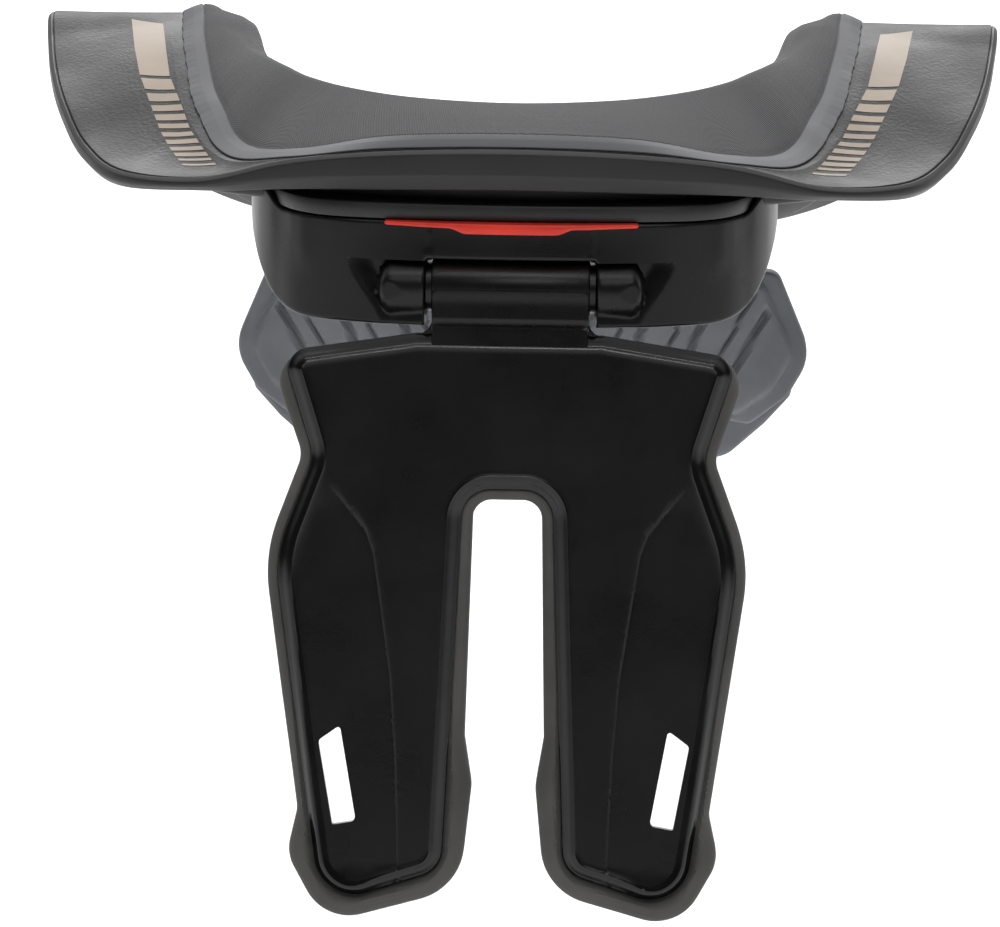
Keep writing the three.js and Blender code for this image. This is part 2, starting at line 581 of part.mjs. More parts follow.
function strutPlate() {
  const full = plateCorners();
  const plate = stack([
    { outline: rounded(inset(full, STRUT.bevel)), at: -STRUT.face },
    { outline: rounded(full), at: -STRUT.face + STRUT.bevelDrop },
    { outline: rounded(full), at: plateBack },
  ]);
  const half = HINGE.halfLength;
  const barrel = bar(HINGE.radius, -half, half, KNUCKLE.sides);
  const neckFoot = -full[0].y + STRUT.bevel;
  const neck = block(-half, half, -STRUT.face + STRUT_NECK.setBack, plateBack, -neckFoot, -STRUT_NECK.top);
  const bore = bar(PIN.radius + PIN.clearance, -half - PAST, half + PAST, 12);
  return plate.add(barrel).add(neck).subtract(bore)
    .subtract(strapSlot(1, 0)).subtract(strapSlot(-1, 0));
}

// The foam behind the strut follows its outline with a margin, and its toes swell out round the plate's ends
function padCorners() {
  const upper = inset(plateCorners(), -PAD.margin);
  const legs = STRUT_CORNERS.findIndex((c) => c.down > 0.9);
  const top = { x: upper[0].x, y: upper[0].y - 2 * PAD.margin, r: plateCorners()[0].r };
  const corner = { x: upper[1].x, y: upper[1].y - PAD.margin, r: upper[1].r };
  const slot = upper[STRUT_CORNERS.length];
  return bothSides([top, corner, ...upper.slice(2, legs), ...TOE_CORNERS.map(strutCorner), slot]);
}

function strutPad() {
  const full = padCorners();
  const rear = plateBack + GAP;
  const front = rear + PAD.thick;
  const swell = rear - PAD.toe;
  const body = stack([
    { outline: rounded(inset(full, PAD.round * 0.3)), at: swell },
    { outline: rounded(full), at: swell + PAD.round * 0.5 },
    { outline: rounded(full), at: front - PAD.round },
    { outline: rounded(inset(full, PAD.round * 0.8)), at: front },
  ]);
  const wide = STRUT.halfWidth + PAD.margin + PAST;
  const toeTop = strutCorner(TOE_CORNERS[TOE_CORNERS.length - 1]).y;
  const aboveToes = block(-wide, wide, swell - PAST, rear, toeTop, 0);
  const outline = rounded(inset(plateCorners(), -2 * GAP));
  const seat = stack([{ outline, at: swell - PAST }, { outline, at: rear }]);
  return body.subtract(aboveToes).subtract(seat)
    .subtract(strapSlot(1, STRAP.padMargin)).subtract(strapSlot(-1, STRAP.padMargin));
}

// The chest pieces lean forward and fold back round the chest: flat halves that meet at the middle
function chestPiece(corners, near, thick, edge, cutters = []) {
  const half = [
    { x: 0, y: corners[0].down, r: 0 },
    ...corners,
    { x: 0, y: corners[corners.length - 1].down, r: 0 },
  ].map((c) => ({
    x: c.x * CHEST.halfWidth,
    y: CHEST.top - (c.down ?? c.y) * CHEST.height,
    r: c.r * CHEST.halfWidth,
  }));
  const middle = half.length - 1;
  const outline = (amount) => {
    const points = rounded(inset(half, amount));
    const flat = points.map((p) => new THREE.Vector2(Math.max(p.x, 0), p.y));
    flat.forEach((p, i) => {
      const corner = Math.floor(i / (ARC_STEPS + 1));
      if (corner === 0 || corner === middle) p.x = 0;
    });
    return flat.filter((p, i) => {
      const corner = Math.floor(i / (ARC_STEPS + 1));
      return (corner !== 0 && corner !== middle) || i % (ARC_STEPS + 1) === 0;
    });
  };
  const side = stack([
    { outline: outline(edge), at: near },
    { outline: outline(0), at: near + edge },
    { outline: outline(0), at: near + thick },
  ]);
  const cut = cutters.reduce((made, cutter) => made.subtract(cutter), side);
  const right = folded(geometryOf(cut), 1);
  const left = folded(geometryOf(cut), -1);
  return right.add(left);
}

function folded(geometry, side) {
  const position = geometry.attributes.position;
  const [fold, lean] = [Math.tan(radians(CHEST.fold)), Math.tan(radians(CHEST.lean))];
  for (let i = 0; i < position.count; i++) {
    const [x, y, z] = [position.getX(i), position.getY(i), position.getZ(i)];
    position.setXYZ(i, side * x, y - fold * x + lean * (CHEST.top - z), z);
  }
  if (side < 0) geometry.setIndex([...geometry.index.array].reverse());
  return solid(geometry);
}

// Grooves in pairs, a wide and a narrow one, that fan out from the middle of the chest
function grooves(near) {
  const top = CHEST.top + PAST;
  const bottom = CHEST.top - CHEST.height;
  const made = [];
  for (let n = 0; RIB.start + n * RIB.pitch < CHEST.halfWidth - RIB.edge; n++) {
    const pairs = [
      { at: RIB.start + n * RIB.pitch + RIB.pair, wide: RIB.thickGroove },
      { at: RIB.start + n * RIB.pitch, wide: RIB.thinGroove },
    ];
    for (const { at, wide } of pairs) {
      const lean = mix(0.15, 0.62, at / CHEST.halfWidth) * (top - bottom);
      const outline = [
        new THREE.Vector2(at - wide / 2 + lean * 0.45, top),
        new THREE.Vector2(at + wide / 2 + lean * 0.45, top),
        new THREE.Vector2(at + wide / 2 - lean * 0.55, bottom),
        new THREE.Vector2(at - wide / 2 - lean * 0.55, bottom),
      ];
      made.push(stack([{ outline, at: near - PAST }, { outline, at: near + RIB.depth }]));
    }
  }
  return made;
}

const linerNear = CHEST.y + CHEST_THICK.pad + GAP;
const plateNear = linerNear + CHEST_THICK.liner + GAP;

// The raised ribbed panel stands on a flange of the same outline
function chestPad() {
  const { pad, relief } = CHEST_THICK;
  const flange = chestPiece(CHEST_PAD_CORNERS, CHEST.y + relief, pad - relief, CHEST_EDGE.flange);
  const scaled = CHEST_PAD_CORNERS.map((c) => {
    return { ...c, x: c.x * PANEL.across, down: mix(PANEL.middle, c.down, PANEL.up) };
  });
  const panel = chestPiece(scaled, CHEST.y, relief + (pad - relief) / 2, CHEST_EDGE.panel, grooves(CHEST.y));
  return flange.add(panel);
}

const chestLiner = () => chestPiece(CHEST_LINER_CORNERS, linerNear, CHEST_THICK.liner, CHEST_EDGE.liner);

// The front chassis in one moulding: arms from the shoulders, a yoke under the table and the chest plate
function frontChassis() {
  const band = ringLoft(bandSection, frontStart, LAST, FRONT_STEPS);
  const plate = chestPiece(CHEST_PLATE_CORNERS, plateNear, CHEST_THICK.plate, CHEST_EDGE.plate);
  const near = mix(NECK.front, RING.front, BAND.inner);
  const far = plateNear + CHEST_THICK.plate / 2;
  const top = underside(LAST, (far - NECK.front) / (RING.front - NECK.front)) - YOKE.below;
  const corner = far - Math.tan(radians(CHEST.fold)) * YOKE.halfWidth;
  const outline = [
    new THREE.Vector2(-YOKE.halfWidth, near),
    new THREE.Vector2(YOKE.halfWidth, near),
    new THREE.Vector2(YOKE.halfWidth, corner),
    new THREE.Vector2(0, far),
    new THREE.Vector2(-YOKE.halfWidth, corner),
  ];
  const yoke = stack([{ outline, at: top - YOKE.thick }, { outline, at: top }], "z");
  return band.add(yoke).add(plate);
}

// A plain clasp across each shoulder joint, under both arms
function clasp(side) {
  const drop = 2 * CURVED_GAP + BAND.thick;
  const section = (u, s) => bandSection(u, s, CLASP.inner, CLASP.outer, drop, CLASP.thick);
  return ringLoft(section, TABLE.split - CLASP.reach, TABLE.split + CLASP.reach, 4)(side);
}

// Finishes
const finish = (color, roughness, metalness = 0) =>
  new THREE.MeshStandardMaterial({ color, roughness, metalness });
const FINISH = {
  table: finish(0x2e2f32, 0.62),
  mesh: finish(0x38393d, 0.9),
  chassis: finish(0x2b2c2e, 0.55),
  gloss: finish(0x121213, 0.35),
  red: finish(0xe2443a, 0.45),
  steel: finish(0x9a9b9e, 0.3, 1),
  foam: finish(0x5f6468, 0.85),
  strutFoam: finish(0x55524f, 0.85),
};

function piece(name, made, material) {
  const mesh = new THREE.Mesh(geometryOf(made), material);
  mesh.name = name;
  return mesh;
}

const brace = new THREE.Group();
brace.add(
  piece("rear_table", rearTable, FINISH.table),
  piece("rear_collar_pad", rearCollar, FINISH.mesh),
  piece("rear_chassis", rearChassis(), FINISH.chassis),
  piece("rear_frame", rearFrame(), FINISH.gloss),
  piece("lock_tab", lockTab(), FINISH.red),
  piece("hinge_pin", hingePin(), FINISH.steel),
  piece("front_table", frontTable, FINISH.table),
  piece("front_collar_pad", frontCollar, FINISH.mesh),
  piece("front_chassis", frontChassis(), FINISH.chassis),
  piece("chest_liner", chestLiner(), FINISH.foam),
  piece("chest_pad", chestPad(), FINISH.foam),
  piece("clasp_left", clasp(-1), FINISH.gloss),
  piece("clasp_right", clasp(1), FINISH.gloss),
);

const strut = new THREE.Group();
strut.position.set(0, HINGE.y, HINGE.z);
strut.rotation.x = radians(-STRUT.tilt);
strut.add(piece("strut_plate", strutPlate(), FINISH.gloss), piece("strut_pad", strutPad(), FINISH.strutFoam));
brace.add(strut);

export default brace;
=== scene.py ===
import math
import bmesh
import bpy
import numpy as np
from mathutils import Matrix, Vector
from mathutils import geometry as geo
from mathutils.bvhtree import BVHTree


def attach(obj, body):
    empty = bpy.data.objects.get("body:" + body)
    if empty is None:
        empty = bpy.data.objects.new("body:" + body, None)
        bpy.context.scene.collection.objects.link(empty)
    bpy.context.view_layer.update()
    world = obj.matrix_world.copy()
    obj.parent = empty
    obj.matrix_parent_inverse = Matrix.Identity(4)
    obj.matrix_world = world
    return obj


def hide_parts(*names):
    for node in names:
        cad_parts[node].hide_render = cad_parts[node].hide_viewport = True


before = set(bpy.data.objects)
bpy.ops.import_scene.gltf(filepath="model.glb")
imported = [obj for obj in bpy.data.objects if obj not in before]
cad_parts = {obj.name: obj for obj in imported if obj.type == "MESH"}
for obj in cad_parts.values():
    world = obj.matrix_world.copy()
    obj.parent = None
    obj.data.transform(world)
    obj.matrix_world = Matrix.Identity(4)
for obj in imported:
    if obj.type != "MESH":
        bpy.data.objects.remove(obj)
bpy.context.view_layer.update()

MM = 0.001

# Sizes shared with the solids
GAP = 0.3
CURVED_GAP = 0.6
RING = dict(half_width=149.5, rear=121.0, front=130.0)
NECK = dict(half_width=86.0, rear=80.0, front=94.0)
LEVEL = dict(crest=14.6, rear=-16.3, front=-78.0)
TABLE = dict(split=9.28, split_gap=3.6, dish=2.2, inner_step=1.5)
COLLAR = dict(thick=5.0, edge_thick=2.6, roll=3.2, wrap=7.0, seam=0.6)
BAND = dict(thick=6.2, inner=0.3, outer=0.66)
LIP = dict(arc=400.0, corner=30.0, half_width=75.0, depth=24.0, reach=116.0, top=-21.0, thick=4.8, taper=3.0)
HINGE = dict(y=-109.0, z=-46.6, radius=8.9, half=23.2, gap=2.0)
KNUCKLE = dict(wide=15.0, straight=0.65, rounding=5.0)
PIN = dict(radius=1.9, clearance=0.3)
FRAME = dict(wall=4.0, top_thick=4.6, top_depth=23.5, above=0.1)
WALL = dict(half_width=79.0, reach=117.5, height=31.0)
TAB = dict(half_width=37.0, thick=1.4, out=3.5, depth=15.0, radius=215.0)
GRIP = dict(half_width=13.0, slope=5.5, drop=1.6, depth=4.0)
STRUT = dict(tilt=9.0, half_width=68.0, tall=178.5, face=8.6, thick=3.4)
SPINE = dict(half_width=13.3, top=59.0, corner=9.0)
STRAP = dict(x=49.2, to_end=39.7, long=28.8, wide=7.0, lean=10.0, corner=1.6, cut=3.4, pad_margin=2.0)
PAD = dict(margin=3.4, thick=12.0, toe=1.9)
CHEST = dict(half_width=97.0, top=-83.5, height=78.0, y=109.0, fold=10.0, lean=6.0, pad=8.0, relief=2.0,
             liner=5.0, plate=3.5)
PANEL = dict(across=0.945, up=0.88, middle=0.33)
YOKE = dict(half_width=30.0, thick=4.0, below=2.0)
CLASP = dict(inner=0.36, outer=0.58, thick=4.0, reach=0.55)

# The ring's stations, from the middle of the back to the front, in the shares that the solids use
STATION_KEYS = ("in_x", "in_y", "out_x", "out_y", "seal", "seam", "roll", "rim", "seal_z", "seam_z", "edge",
                "base", "under")
REAR_ROWS = [
    (0.0, -1.0, 0.0, -1.0, 0.8, 0.965, 1, 0.65, 0.51, 0.42, 0.406, 0.0, -0.02),
    (0.33, -0.955, 0.255, -0.971, 0.8, 0.965, 1, 0.67, 0.455, 0.37, 0.35, -0.03, -0.02),
    (0.57, -0.815, 0.443, -0.917, 0.74, 0.95, 1, 0.7, 0.27, 0.235, 0.22, -0.076, 0.01),
    (0.715, -0.68, 0.617, -0.847, 0.56, 0.74, 1.1, 0.745, 0.185, 0.12, -0.01, -0.155, 0.1),
    (0.8, -0.56, 0.785, -0.736, 0.375, 0.525, 1.3, 0.8, 0.37, 0.295, -0.035, -0.18, 0.22),
    (0.868, -0.415, 0.872, -0.579, 0.31, 0.45, 1.5, 0.825, 0.54, 0.5, 0.11, -0.065, 0.36),
    (0.92, -0.25, 0.926, -0.413, 0.27, 0.395, 1.8, 0.84, 0.73, 0.695, 0.37, 0.17, 0.47),
    (0.957, -0.09, 0.963, -0.231, 0.25, 0.37, 2.2, 0.915, 0.9, 0.86, 0.59, 0.38, 0.56),
    (0.985, 0.06, 0.987, -0.045, 0.23, 0.35, 2.4, 1.01, 1.03, 0.95, 0.82, 0.6, 0.67),
    (1.0, 0.19, 1.0, 0.115, 0.23, 0.34, 2.4, 0.97, 1.06, 0.985, 0.985, 0.752, 0.66),
]
FRONT_ROWS = [
    (0.99, 0.35, 0.985, 0.262, 0.24, 0.35, 2.2, 0.88, 0.905, 0.89, 0.89, 0.815, 0.765),
    (0.945, 0.51, 0.94, 0.408, 0.25, 0.36, 1.8, 0.755, 0.775, 0.755, 0.725, 0.65, 0.63),
    (0.845, 0.665, 0.859, 0.56, 0.25, 0.37, 1.4, 0.61, 0.62, 0.59, 0.53, 0.44, 0.47),
    (0.69, 0.8, 0.738, 0.71, 0.27, 0.4, 1.2, 0.48, 0.49, 0.45, 0.335, 0.235, 0.325),
    (0.485, 0.915, 0.55, 0.85, 0.3, 0.45, 1, 0.385, 0.37, 0.325, 0.19, 0.095, 0.225),
    (0.25, 0.985, 0.3, 0.955, 0.34, 0.5, 1, 0.33, 0.305, 0.25, 0.115, 0.025, 0.17),
    (0.0, 1.0, 0.0, 1.0, 0.36, 0.52, 1, 0.31, 0.28, 0.225, 0.09, 0.0, 0.15),
]
LAST = len(REAR_ROWS) + len(FRONT_ROWS) - 1

# The rear frame's wall in plan: shares of its half width, its reach and its height
WALL_ROWS = [
    (0.0, 1.0, 1.0), (0.31, 0.994, 1.0), (0.58, 0.962, 1.0), (0.78, 0.895, 1.0),
    (0.885, 0.82, 0.9), (0.95, 0.75, 0.66), (0.985, 0.68, 0.4), (1.0, 0.61, 0.2),
]

# Outlines as corners: shares of the half width and of the height, and the fillet as a share of the half width
STRUT_CORNERS = [(0.4, 0.0755, 0.03), (0.978, 0.109, 0.09), (0.837, 0.28, 0.18), (1.0, 0.447, 0.62),
                 (0.785, 1.03, 0.18), (0.262, 0.965, 0.13)]
TOE_CORNERS = [(0.895, 0.868, 0.13), (0.94, 0.945, 0.18), (0.77, 1.062, 0.29), (0.185, 1.0, 0.26),
               (0.138, 0.825, 0.18), (0.172, 0.745, 0.12)]
CHEST_PAD_CORNERS = [(0.6, -0.01, 0.21), (0.885, 0.0, 0.05), (1.01, 0.37, 0.21), (0.93, 0.56, 0.1),
                     (0.8, 0.7, 0.05), (0.55, 0.66, 0.31)]
CHEST_LINER_CORNERS = [(0.55, 0.1, 0.1), (0.87, 0.16, 0.08), (0.975, 0.4, 0.12), (0.94, 0.58, 0.04),
                       (0.855, 0.71, 0.08), (0.725, 0.87, 0.12), (0.42, 0.96, 0.31)]
CHEST_PLATE_CORNERS = [(0.5, -0.06, 0.12), (0.8, 0.12, 0.14), (0.9, 0.42, 0.19), (0.78, 0.72, 0.14),
                       (0.5, 0.92, 0.16)]

# The tan bars on each wing: from and to along Y, and the band's outer and inner edge at places along Y
STRIPE_BARS = [(4.2, -34.0), (-35.9, -42.4), (-44.7, -49.3), (-51.6, -55.0), (-56.9, -60.3), (-62.2, -64.8),
               (-67.1, -69.7), (-71.7, -74.4), (-76.4, -78.8), (-80.3, -82.7), (-84.2, -85.7), (-88.0, -89.3)]
STRIPE_BAND = [(5.0, 122.6, 112.3), (-17.0, 119.5, 109.4), (-34.0, 116.3, 106.7), (-52.0, 111.1, 101.5),
               (-66.0, 107.1, 97.6), (-78.0, 102.8, 92.8), (-92.0, 97.0, 86.8)]
STRIPE_SLANT = 0.4


def mix(a, b, t):
    return a + (b - a) * t


def smooth(x, low, high):
    """0 below low, 1 above high, and a smooth rise between them."""
    t = np.clip((np.asarray(x, float) - low) / (high - low), 0, 1)
    return t * t * (3 - 2 * t)


def curve(value, u, last):
    """A smooth curve through value(0) to value(last), at place u."""
    i = min(int(math.floor(u)), last - 1)
    t = u - i
    a, b, c, d = (value(i + k) for k in (-1, 0, 1, 2))
    return b + 0.5 * t * (c - a + t * (2 * a - 5 * b + 4 * c - d + t * (3 * (b - c) + d - a)))


# The ring: any column at any place along it
def station_table():
    rows = []
    for index, row in enumerate(REAR_ROWS + FRONT_ROWS):
        low = LEVEL["rear"] if index < len(REAR_ROWS) else LEVEL["front"]
        values = dict(zip(STATION_KEYS, row))
        for key, size in (("in_x", NECK), ("out_x", RING)):
            values[key] *= size["half_width"]
        for key, size in (("in_y", NECK), ("out_y", RING)):
            values[key] *= size["rear"] if values[key] < 0 else size["front"]
        for key in ("rim", "seal_z", "seam_z", "edge", "base", "under"):
            values[key] = mix(low, LEVEL["crest"], values[key])
        rows.append(values)
    return rows


STATIONS = station_table()


def along(key, u):
    sign = -1 if key in ("in_x", "out_x") else 1

    def value(i):
        if i < 0:
            return sign * STATIONS[-i][key]
        if i > LAST:
            return sign * STATIONS[2 * LAST - i][key]
        return STATIONS[i][key]

    return curve(value, u, LAST)


class Station:
    """One place along the ring: its section is drawn in (way out in mm, height)."""

    def __init__(self, u, side):
        self.u = u
        self.side = side
        self.values = {key: along(key, u) for key in STATION_KEYS}
        v = self.values
        self.inner = np.array([v["in_x"], v["in_y"]])
        way = np.array([v["out_x"], v["out_y"]]) - self.inner
        self.width = float(np.hypot(*way))
        self.way = way / self.width

    def __getattr__(self, key):
        return self.values[key]

    def place(self, points):
        """(way out, height) pairs as points in space."""
        p = np.asarray(points, float)
        x = (self.inner[0] + self.way[0] * p[:, 0]) * self.side
        y = self.inner[1] + self.way[1] * p[:, 0]
        return np.stack([x, y, p[:, 1]], 1)

    def underside(self, share):
        return mix(self.under, self.base, share)

    def table_top_inner(self):
        return self.rim - COLLAR["thick"] - CURVED_GAP

    def table_top_seal(self):
        return self.seal_z - COLLAR["edge_thick"] - CURVED_GAP


def split_places():
    """Where the rear half of the ring ends and the front half starts."""
    crest = int(TABLE["split"])
    stations = [Station(crest + k, 1) for k in (0, 1)]
    middles = [s.place([(s.width / 2, 0)])[0] for s in stations]
    half = TABLE["split_gap"] / 2 / float(np.linalg.norm(middles[1] - middles[0]))
    return TABLE["split"] - half, TABLE["split"] + half


REAR_END, FRONT_START = split_places()


def fillet(points, steps=5):
    """A closed section from (a, z, radius) corners, each turned into an arc of the same number of points."""
    pts = np.array([p[:2] for p in points], float)
    made = []
    n = len(pts)
    for i, (a, z, r) in enumerate(points):
        here, before, after = pts[i], pts[i - 1], pts[(i + 1) % n]
        to_before = before - here
        to_after = after - here
        lb, la = np.hypot(*to_before), np.hypot(*to_after)
        cosine = np.clip(to_before @ to_after / (lb * la), -1, 1)
        half = math.acos(cosine) / 2
        back = min(max(r / math.tan(half), 0.02), 0.47 * min(la, lb))
        radius = back * math.tan(half)
        bisector = to_before / lb + to_after / la
        length = np.hypot(*bisector)
        if length < 1e-6:
            for k in range(steps + 1):
                made.append(here + (to_before / lb * (1 - k / steps) + to_after / la * (k / steps)) * 0.02)
            continue
        centre = here + bisector / length * (radius / math.sin(half))
        start = here + to_before / lb * back - centre
        end = here + to_after / la * back - centre
        sweep = math.atan2(start[0] * end[1] - start[1] * end[0], start @ end)
        for k in range(steps + 1):
            c, s = math.cos(sweep * k / steps), math.sin(sweep * k / steps)
            made.append(centre + np.array([start[0] * c - start[1] * s, start[0] * s + start[1] * c]))
    return np.array(made)


# Meshes
def make(name, vertices, faces, materials, indices=None, uv=None, angle=38):
    """A mesh object from millimetres. indices are the faces' materials, uv the vertices' texture places."""
    mesh = bpy.data.meshes.new(name)
    mesh.from_pydata([tuple(v) for v in np.asarray(vertices) * MM], [],
                     [tuple(int(i) for i in f) for f in faces])
    mesh.validate(verbose=False)
    for material in materials:
        mesh.materials.append(material)
    if indices is not None:
        mesh.polygons.foreach_set("material_index", np.asarray(indices, np.int32))
    if uv is not None:
        layer = mesh.uv_layers.new(name="UVMap")
        loop_vertex = np.zeros(len(mesh.loops), np.int32)
        mesh.loops.foreach_get("vertex_index", loop_vertex)
        layer.data.foreach_set("uv", np.asarray(uv, np.float32)[loop_vertex].ravel())
    mesh.polygons.foreach_set("use_smooth", np.ones(len(mesh.polygons), bool))
    mesh.set_sharp_from_angle(angle=math.radians(angle))
    mesh.update()
    form = bmesh.new()
    form.from_mesh(mesh)
    if form.calc_volume(signed=True) < 0:
        mesh.flip_normals()
    form.free()
    made = bpy.data.objects.new(name, mesh)
    bpy.context.scene.collection.objects.link(made)
    return made


def grid_faces(rows, columns, round_rows=False, round_columns=True, first=0):
    """Quads between rows of points. A round grid joins its last row or column to its first one."""
    def at(i, j):
        return first + i % rows * columns + j % columns

    return [(at(i, j), at(i, j + 1), at(i + 1, j + 1), at(i + 1, j))
            for i in range(rows if round_rows else rows - 1)
            for j in range(columns if round_columns else columns - 1)]


def both_faces(faces, n):
    """The faces of a sheet, the same n points further on and turned over, and the rim between them."""
    turns = [(f[i], f[(i + 1) % len(f)]) for f in faces for i in range(len(f))]
    paired = set(turns)
    under = [tuple(i + n for i in (f[0], *reversed(f[1:]))) for f in faces]
    return faces + under + [(b, a, a + n, b + n) for a, b in turns if (b, a) not in paired]


def loft(name, sections, materials, face_material=None, uv=None, angle=38):
    """A closed form through sections (S, K, 3), with fan caps. face_material(k) gives the material at k."""
    s, k, _ = sections.shape
    points = sections.reshape(-1, 3)
    caps = np.stack([sections[0].mean(0), sections[-1].mean(0)])
    points = np.vstack([points, caps])
    end = (s - 1) * k
    faces = grid_faces(s, k) + [(s * k, (j + 1) % k, j) for j in range(k)]
    faces += [(s * k + 1, end + j, end + (j + 1) % k) for j in range(k)]
    indices = [face_material(j) if face_material else 0 for j in range(k)] * (s - 1) + [0] * 2 * k
    if uv is not None:
        uv = np.vstack([uv.reshape(-1, 2), uv[0].mean(0), uv[-1].mean(0)])
    return make(name, points, faces, materials, indices, uv, angle)


def ring_places(start, end, count):
    """Stations from one end to the other through the middle, or along the way of one side only."""
    us = [mix(start, end, k / count) for k in range(count + 1)]
    if start == 0:
        return [Station(u, -1) for u in reversed(us[1:])] + [Station(u, 1) for u in us]
    if end == LAST:
        return [Station(u, -1) for u in us[:-1]] + [Station(u, 1) for u in reversed(us)]
    return [Station(u, 1) for u in us]


def ring_loft(name, stations, section, materials, face_material=None, angle=38):
    """Sections along the ring. The texture runs in mm along the ring and round the section."""
    flat = [section(s) for s in stations]
    sections = np.stack([s.place(f) for s, f in zip(stations, flat)])
    step = np.linalg.norm(np.diff(sections.mean(1), axis=0), axis=1)
    run = np.concatenate([[0], np.cumsum(step)])
    run -= run.mean()
    round_way = np.linalg.norm(np.diff(np.array(flat), axis=1), axis=2)
    round_way = np.hstack([np.zeros((len(flat), 1)), np.cumsum(round_way, axis=1)])
    uv = np.stack([np.repeat(run[:, None], round_way.shape[1], 1), round_way], 2)
    return loft(name, sections, materials, face_material, uv, angle)


def ring_pair(ending, counts, section, materials, face_material=None, angle=38):
    """The rear and the front piece with the same section."""
    places = (ring_places(0, REAR_END, counts[0]), ring_places(FRONT_START, LAST, counts[1]))
    return [ring_loft(end + ending, stations, section, materials, face_material, angle)
            for end, stations in zip(("rear", "front"), places)]


# Flat outlines
def inset(corners, distance):
    """The same corners moved in by a distance, or out by a negative one."""
    p = np.array([c[:2] for c in corners], float)
    nxt = np.roll(p, -1, 0)
    side = np.sign((p[:, 0] * nxt[:, 1] - nxt[:, 0] * p[:, 1]).sum())
    way = nxt - p
    way /= np.linalg.norm(way, axis=1)[:, None]
    base = p + np.stack([-way[:, 1], way[:, 0]], 1) * side * distance
    made = []
    for i in range(len(p)):
        a, wa, b, wb = base[i - 1], way[i - 1], base[i], way[i]
        turn = wa[0] * wb[1] - wa[1] * wb[0]
        d = b - a
        share = (d[0] * wb[1] - d[1] * wb[0]) / turn
        point = a + wa * share
        grow = -distance if turn * side > 0 else distance
        made.append((point[0], point[1], max(0.4, corners[i][2] + grow)))
    return made


def both_sides(corners):
    return list(corners) + [(-x, y, r) for x, y, r in reversed(corners)]


def resample(outline, spacing):
    """The closed outline with points added on its long stretches."""
    made = []
    for i, p in enumerate(outline):
        q = outline[(i + 1) % len(outline)]
        n = max(1, int(math.ceil(np.hypot(*(q - p)) / spacing)))
        made += [mix(p, q, k / n) for k in range(n)]
    return np.array(made)


def inside(points, outline):
    x, y = points[:, 0][:, None], points[:, 1][:, None]
    a, b = outline, np.roll(outline, -1, 0)
    crosses = (a[:, 1] > y) != (b[:, 1] > y)
    dy = np.where(a[:, 1] == b[:, 1], 1e-9, b[:, 1] - a[:, 1])
    at = a[:, 0] + (y - a[:, 1]) / dy * (b[:, 0] - a[:, 0])
    return (crosses & (x < at)).sum(1) % 2 == 1


def within(points, loops):
    """Which points are inside the first loop and outside the others."""
    ok = inside(points, loops[0])
    for hole in loops[1:]:
        ok &= ~inside(points, hole)
    return ok


def edge_distance(points, loops):
    """How far each point is from the nearest edge of the loops."""
    best = np.full(len(points), 1e9)
    for loop in loops:
        a, b = loop, np.roll(loop, -1, 0)
        d = b - a
        length = (d * d).sum(1)
        for start in range(0, len(points), 4000):
            p = points[start:start + 4000][:, None, :]
            t = np.clip(((p - a) * d).sum(2) / length, 0, 1)
            gap = np.linalg.norm(p - (a + t[:, :, None] * d), axis=2).min(1)
            best[start:start + 4000] = np.minimum(best[start:start + 4000], gap)
    return best


def depth_in(x, y, outline):
    """How far points are inside an outline: negative outside it."""
    points = np.stack([x, y], 1)
    gap = edge_distance(points, [outline])
    return np.where(inside(points, outline), gap, -gap)


def shifted(loop, distance):
    """The loop's points moved sideways by a distance."""
    ahead = np.roll(loop, -1, 0) - np.roll(loop, 1, 0)
    normal = np.stack([-ahead[:, 1], ahead[:, 0]], 1)
    return loop + normal / (np.linalg.norm(normal, axis=1)[:, None] + 1e-12) * distance


def quarter(d, radius):
    """How far a surface has dropped at distance d from an edge that is rounded with that radius."""
    t = np.clip(1 - d / radius, 0, 1)
    return radius * (1 - np.sqrt(np.clip(1 - t * t, 0, 1)))


def face_heights(face, flat, d, turn):
    """Heights over flat points from a function, from a number, or from a number with an edge radius."""
    if isinstance(face, tuple):
        return face[0] - turn * quarter(d, face[1])
    return np.broadcast_to(face(flat[:, 0], flat[:, 1], d) if callable(face) else face, d.shape)


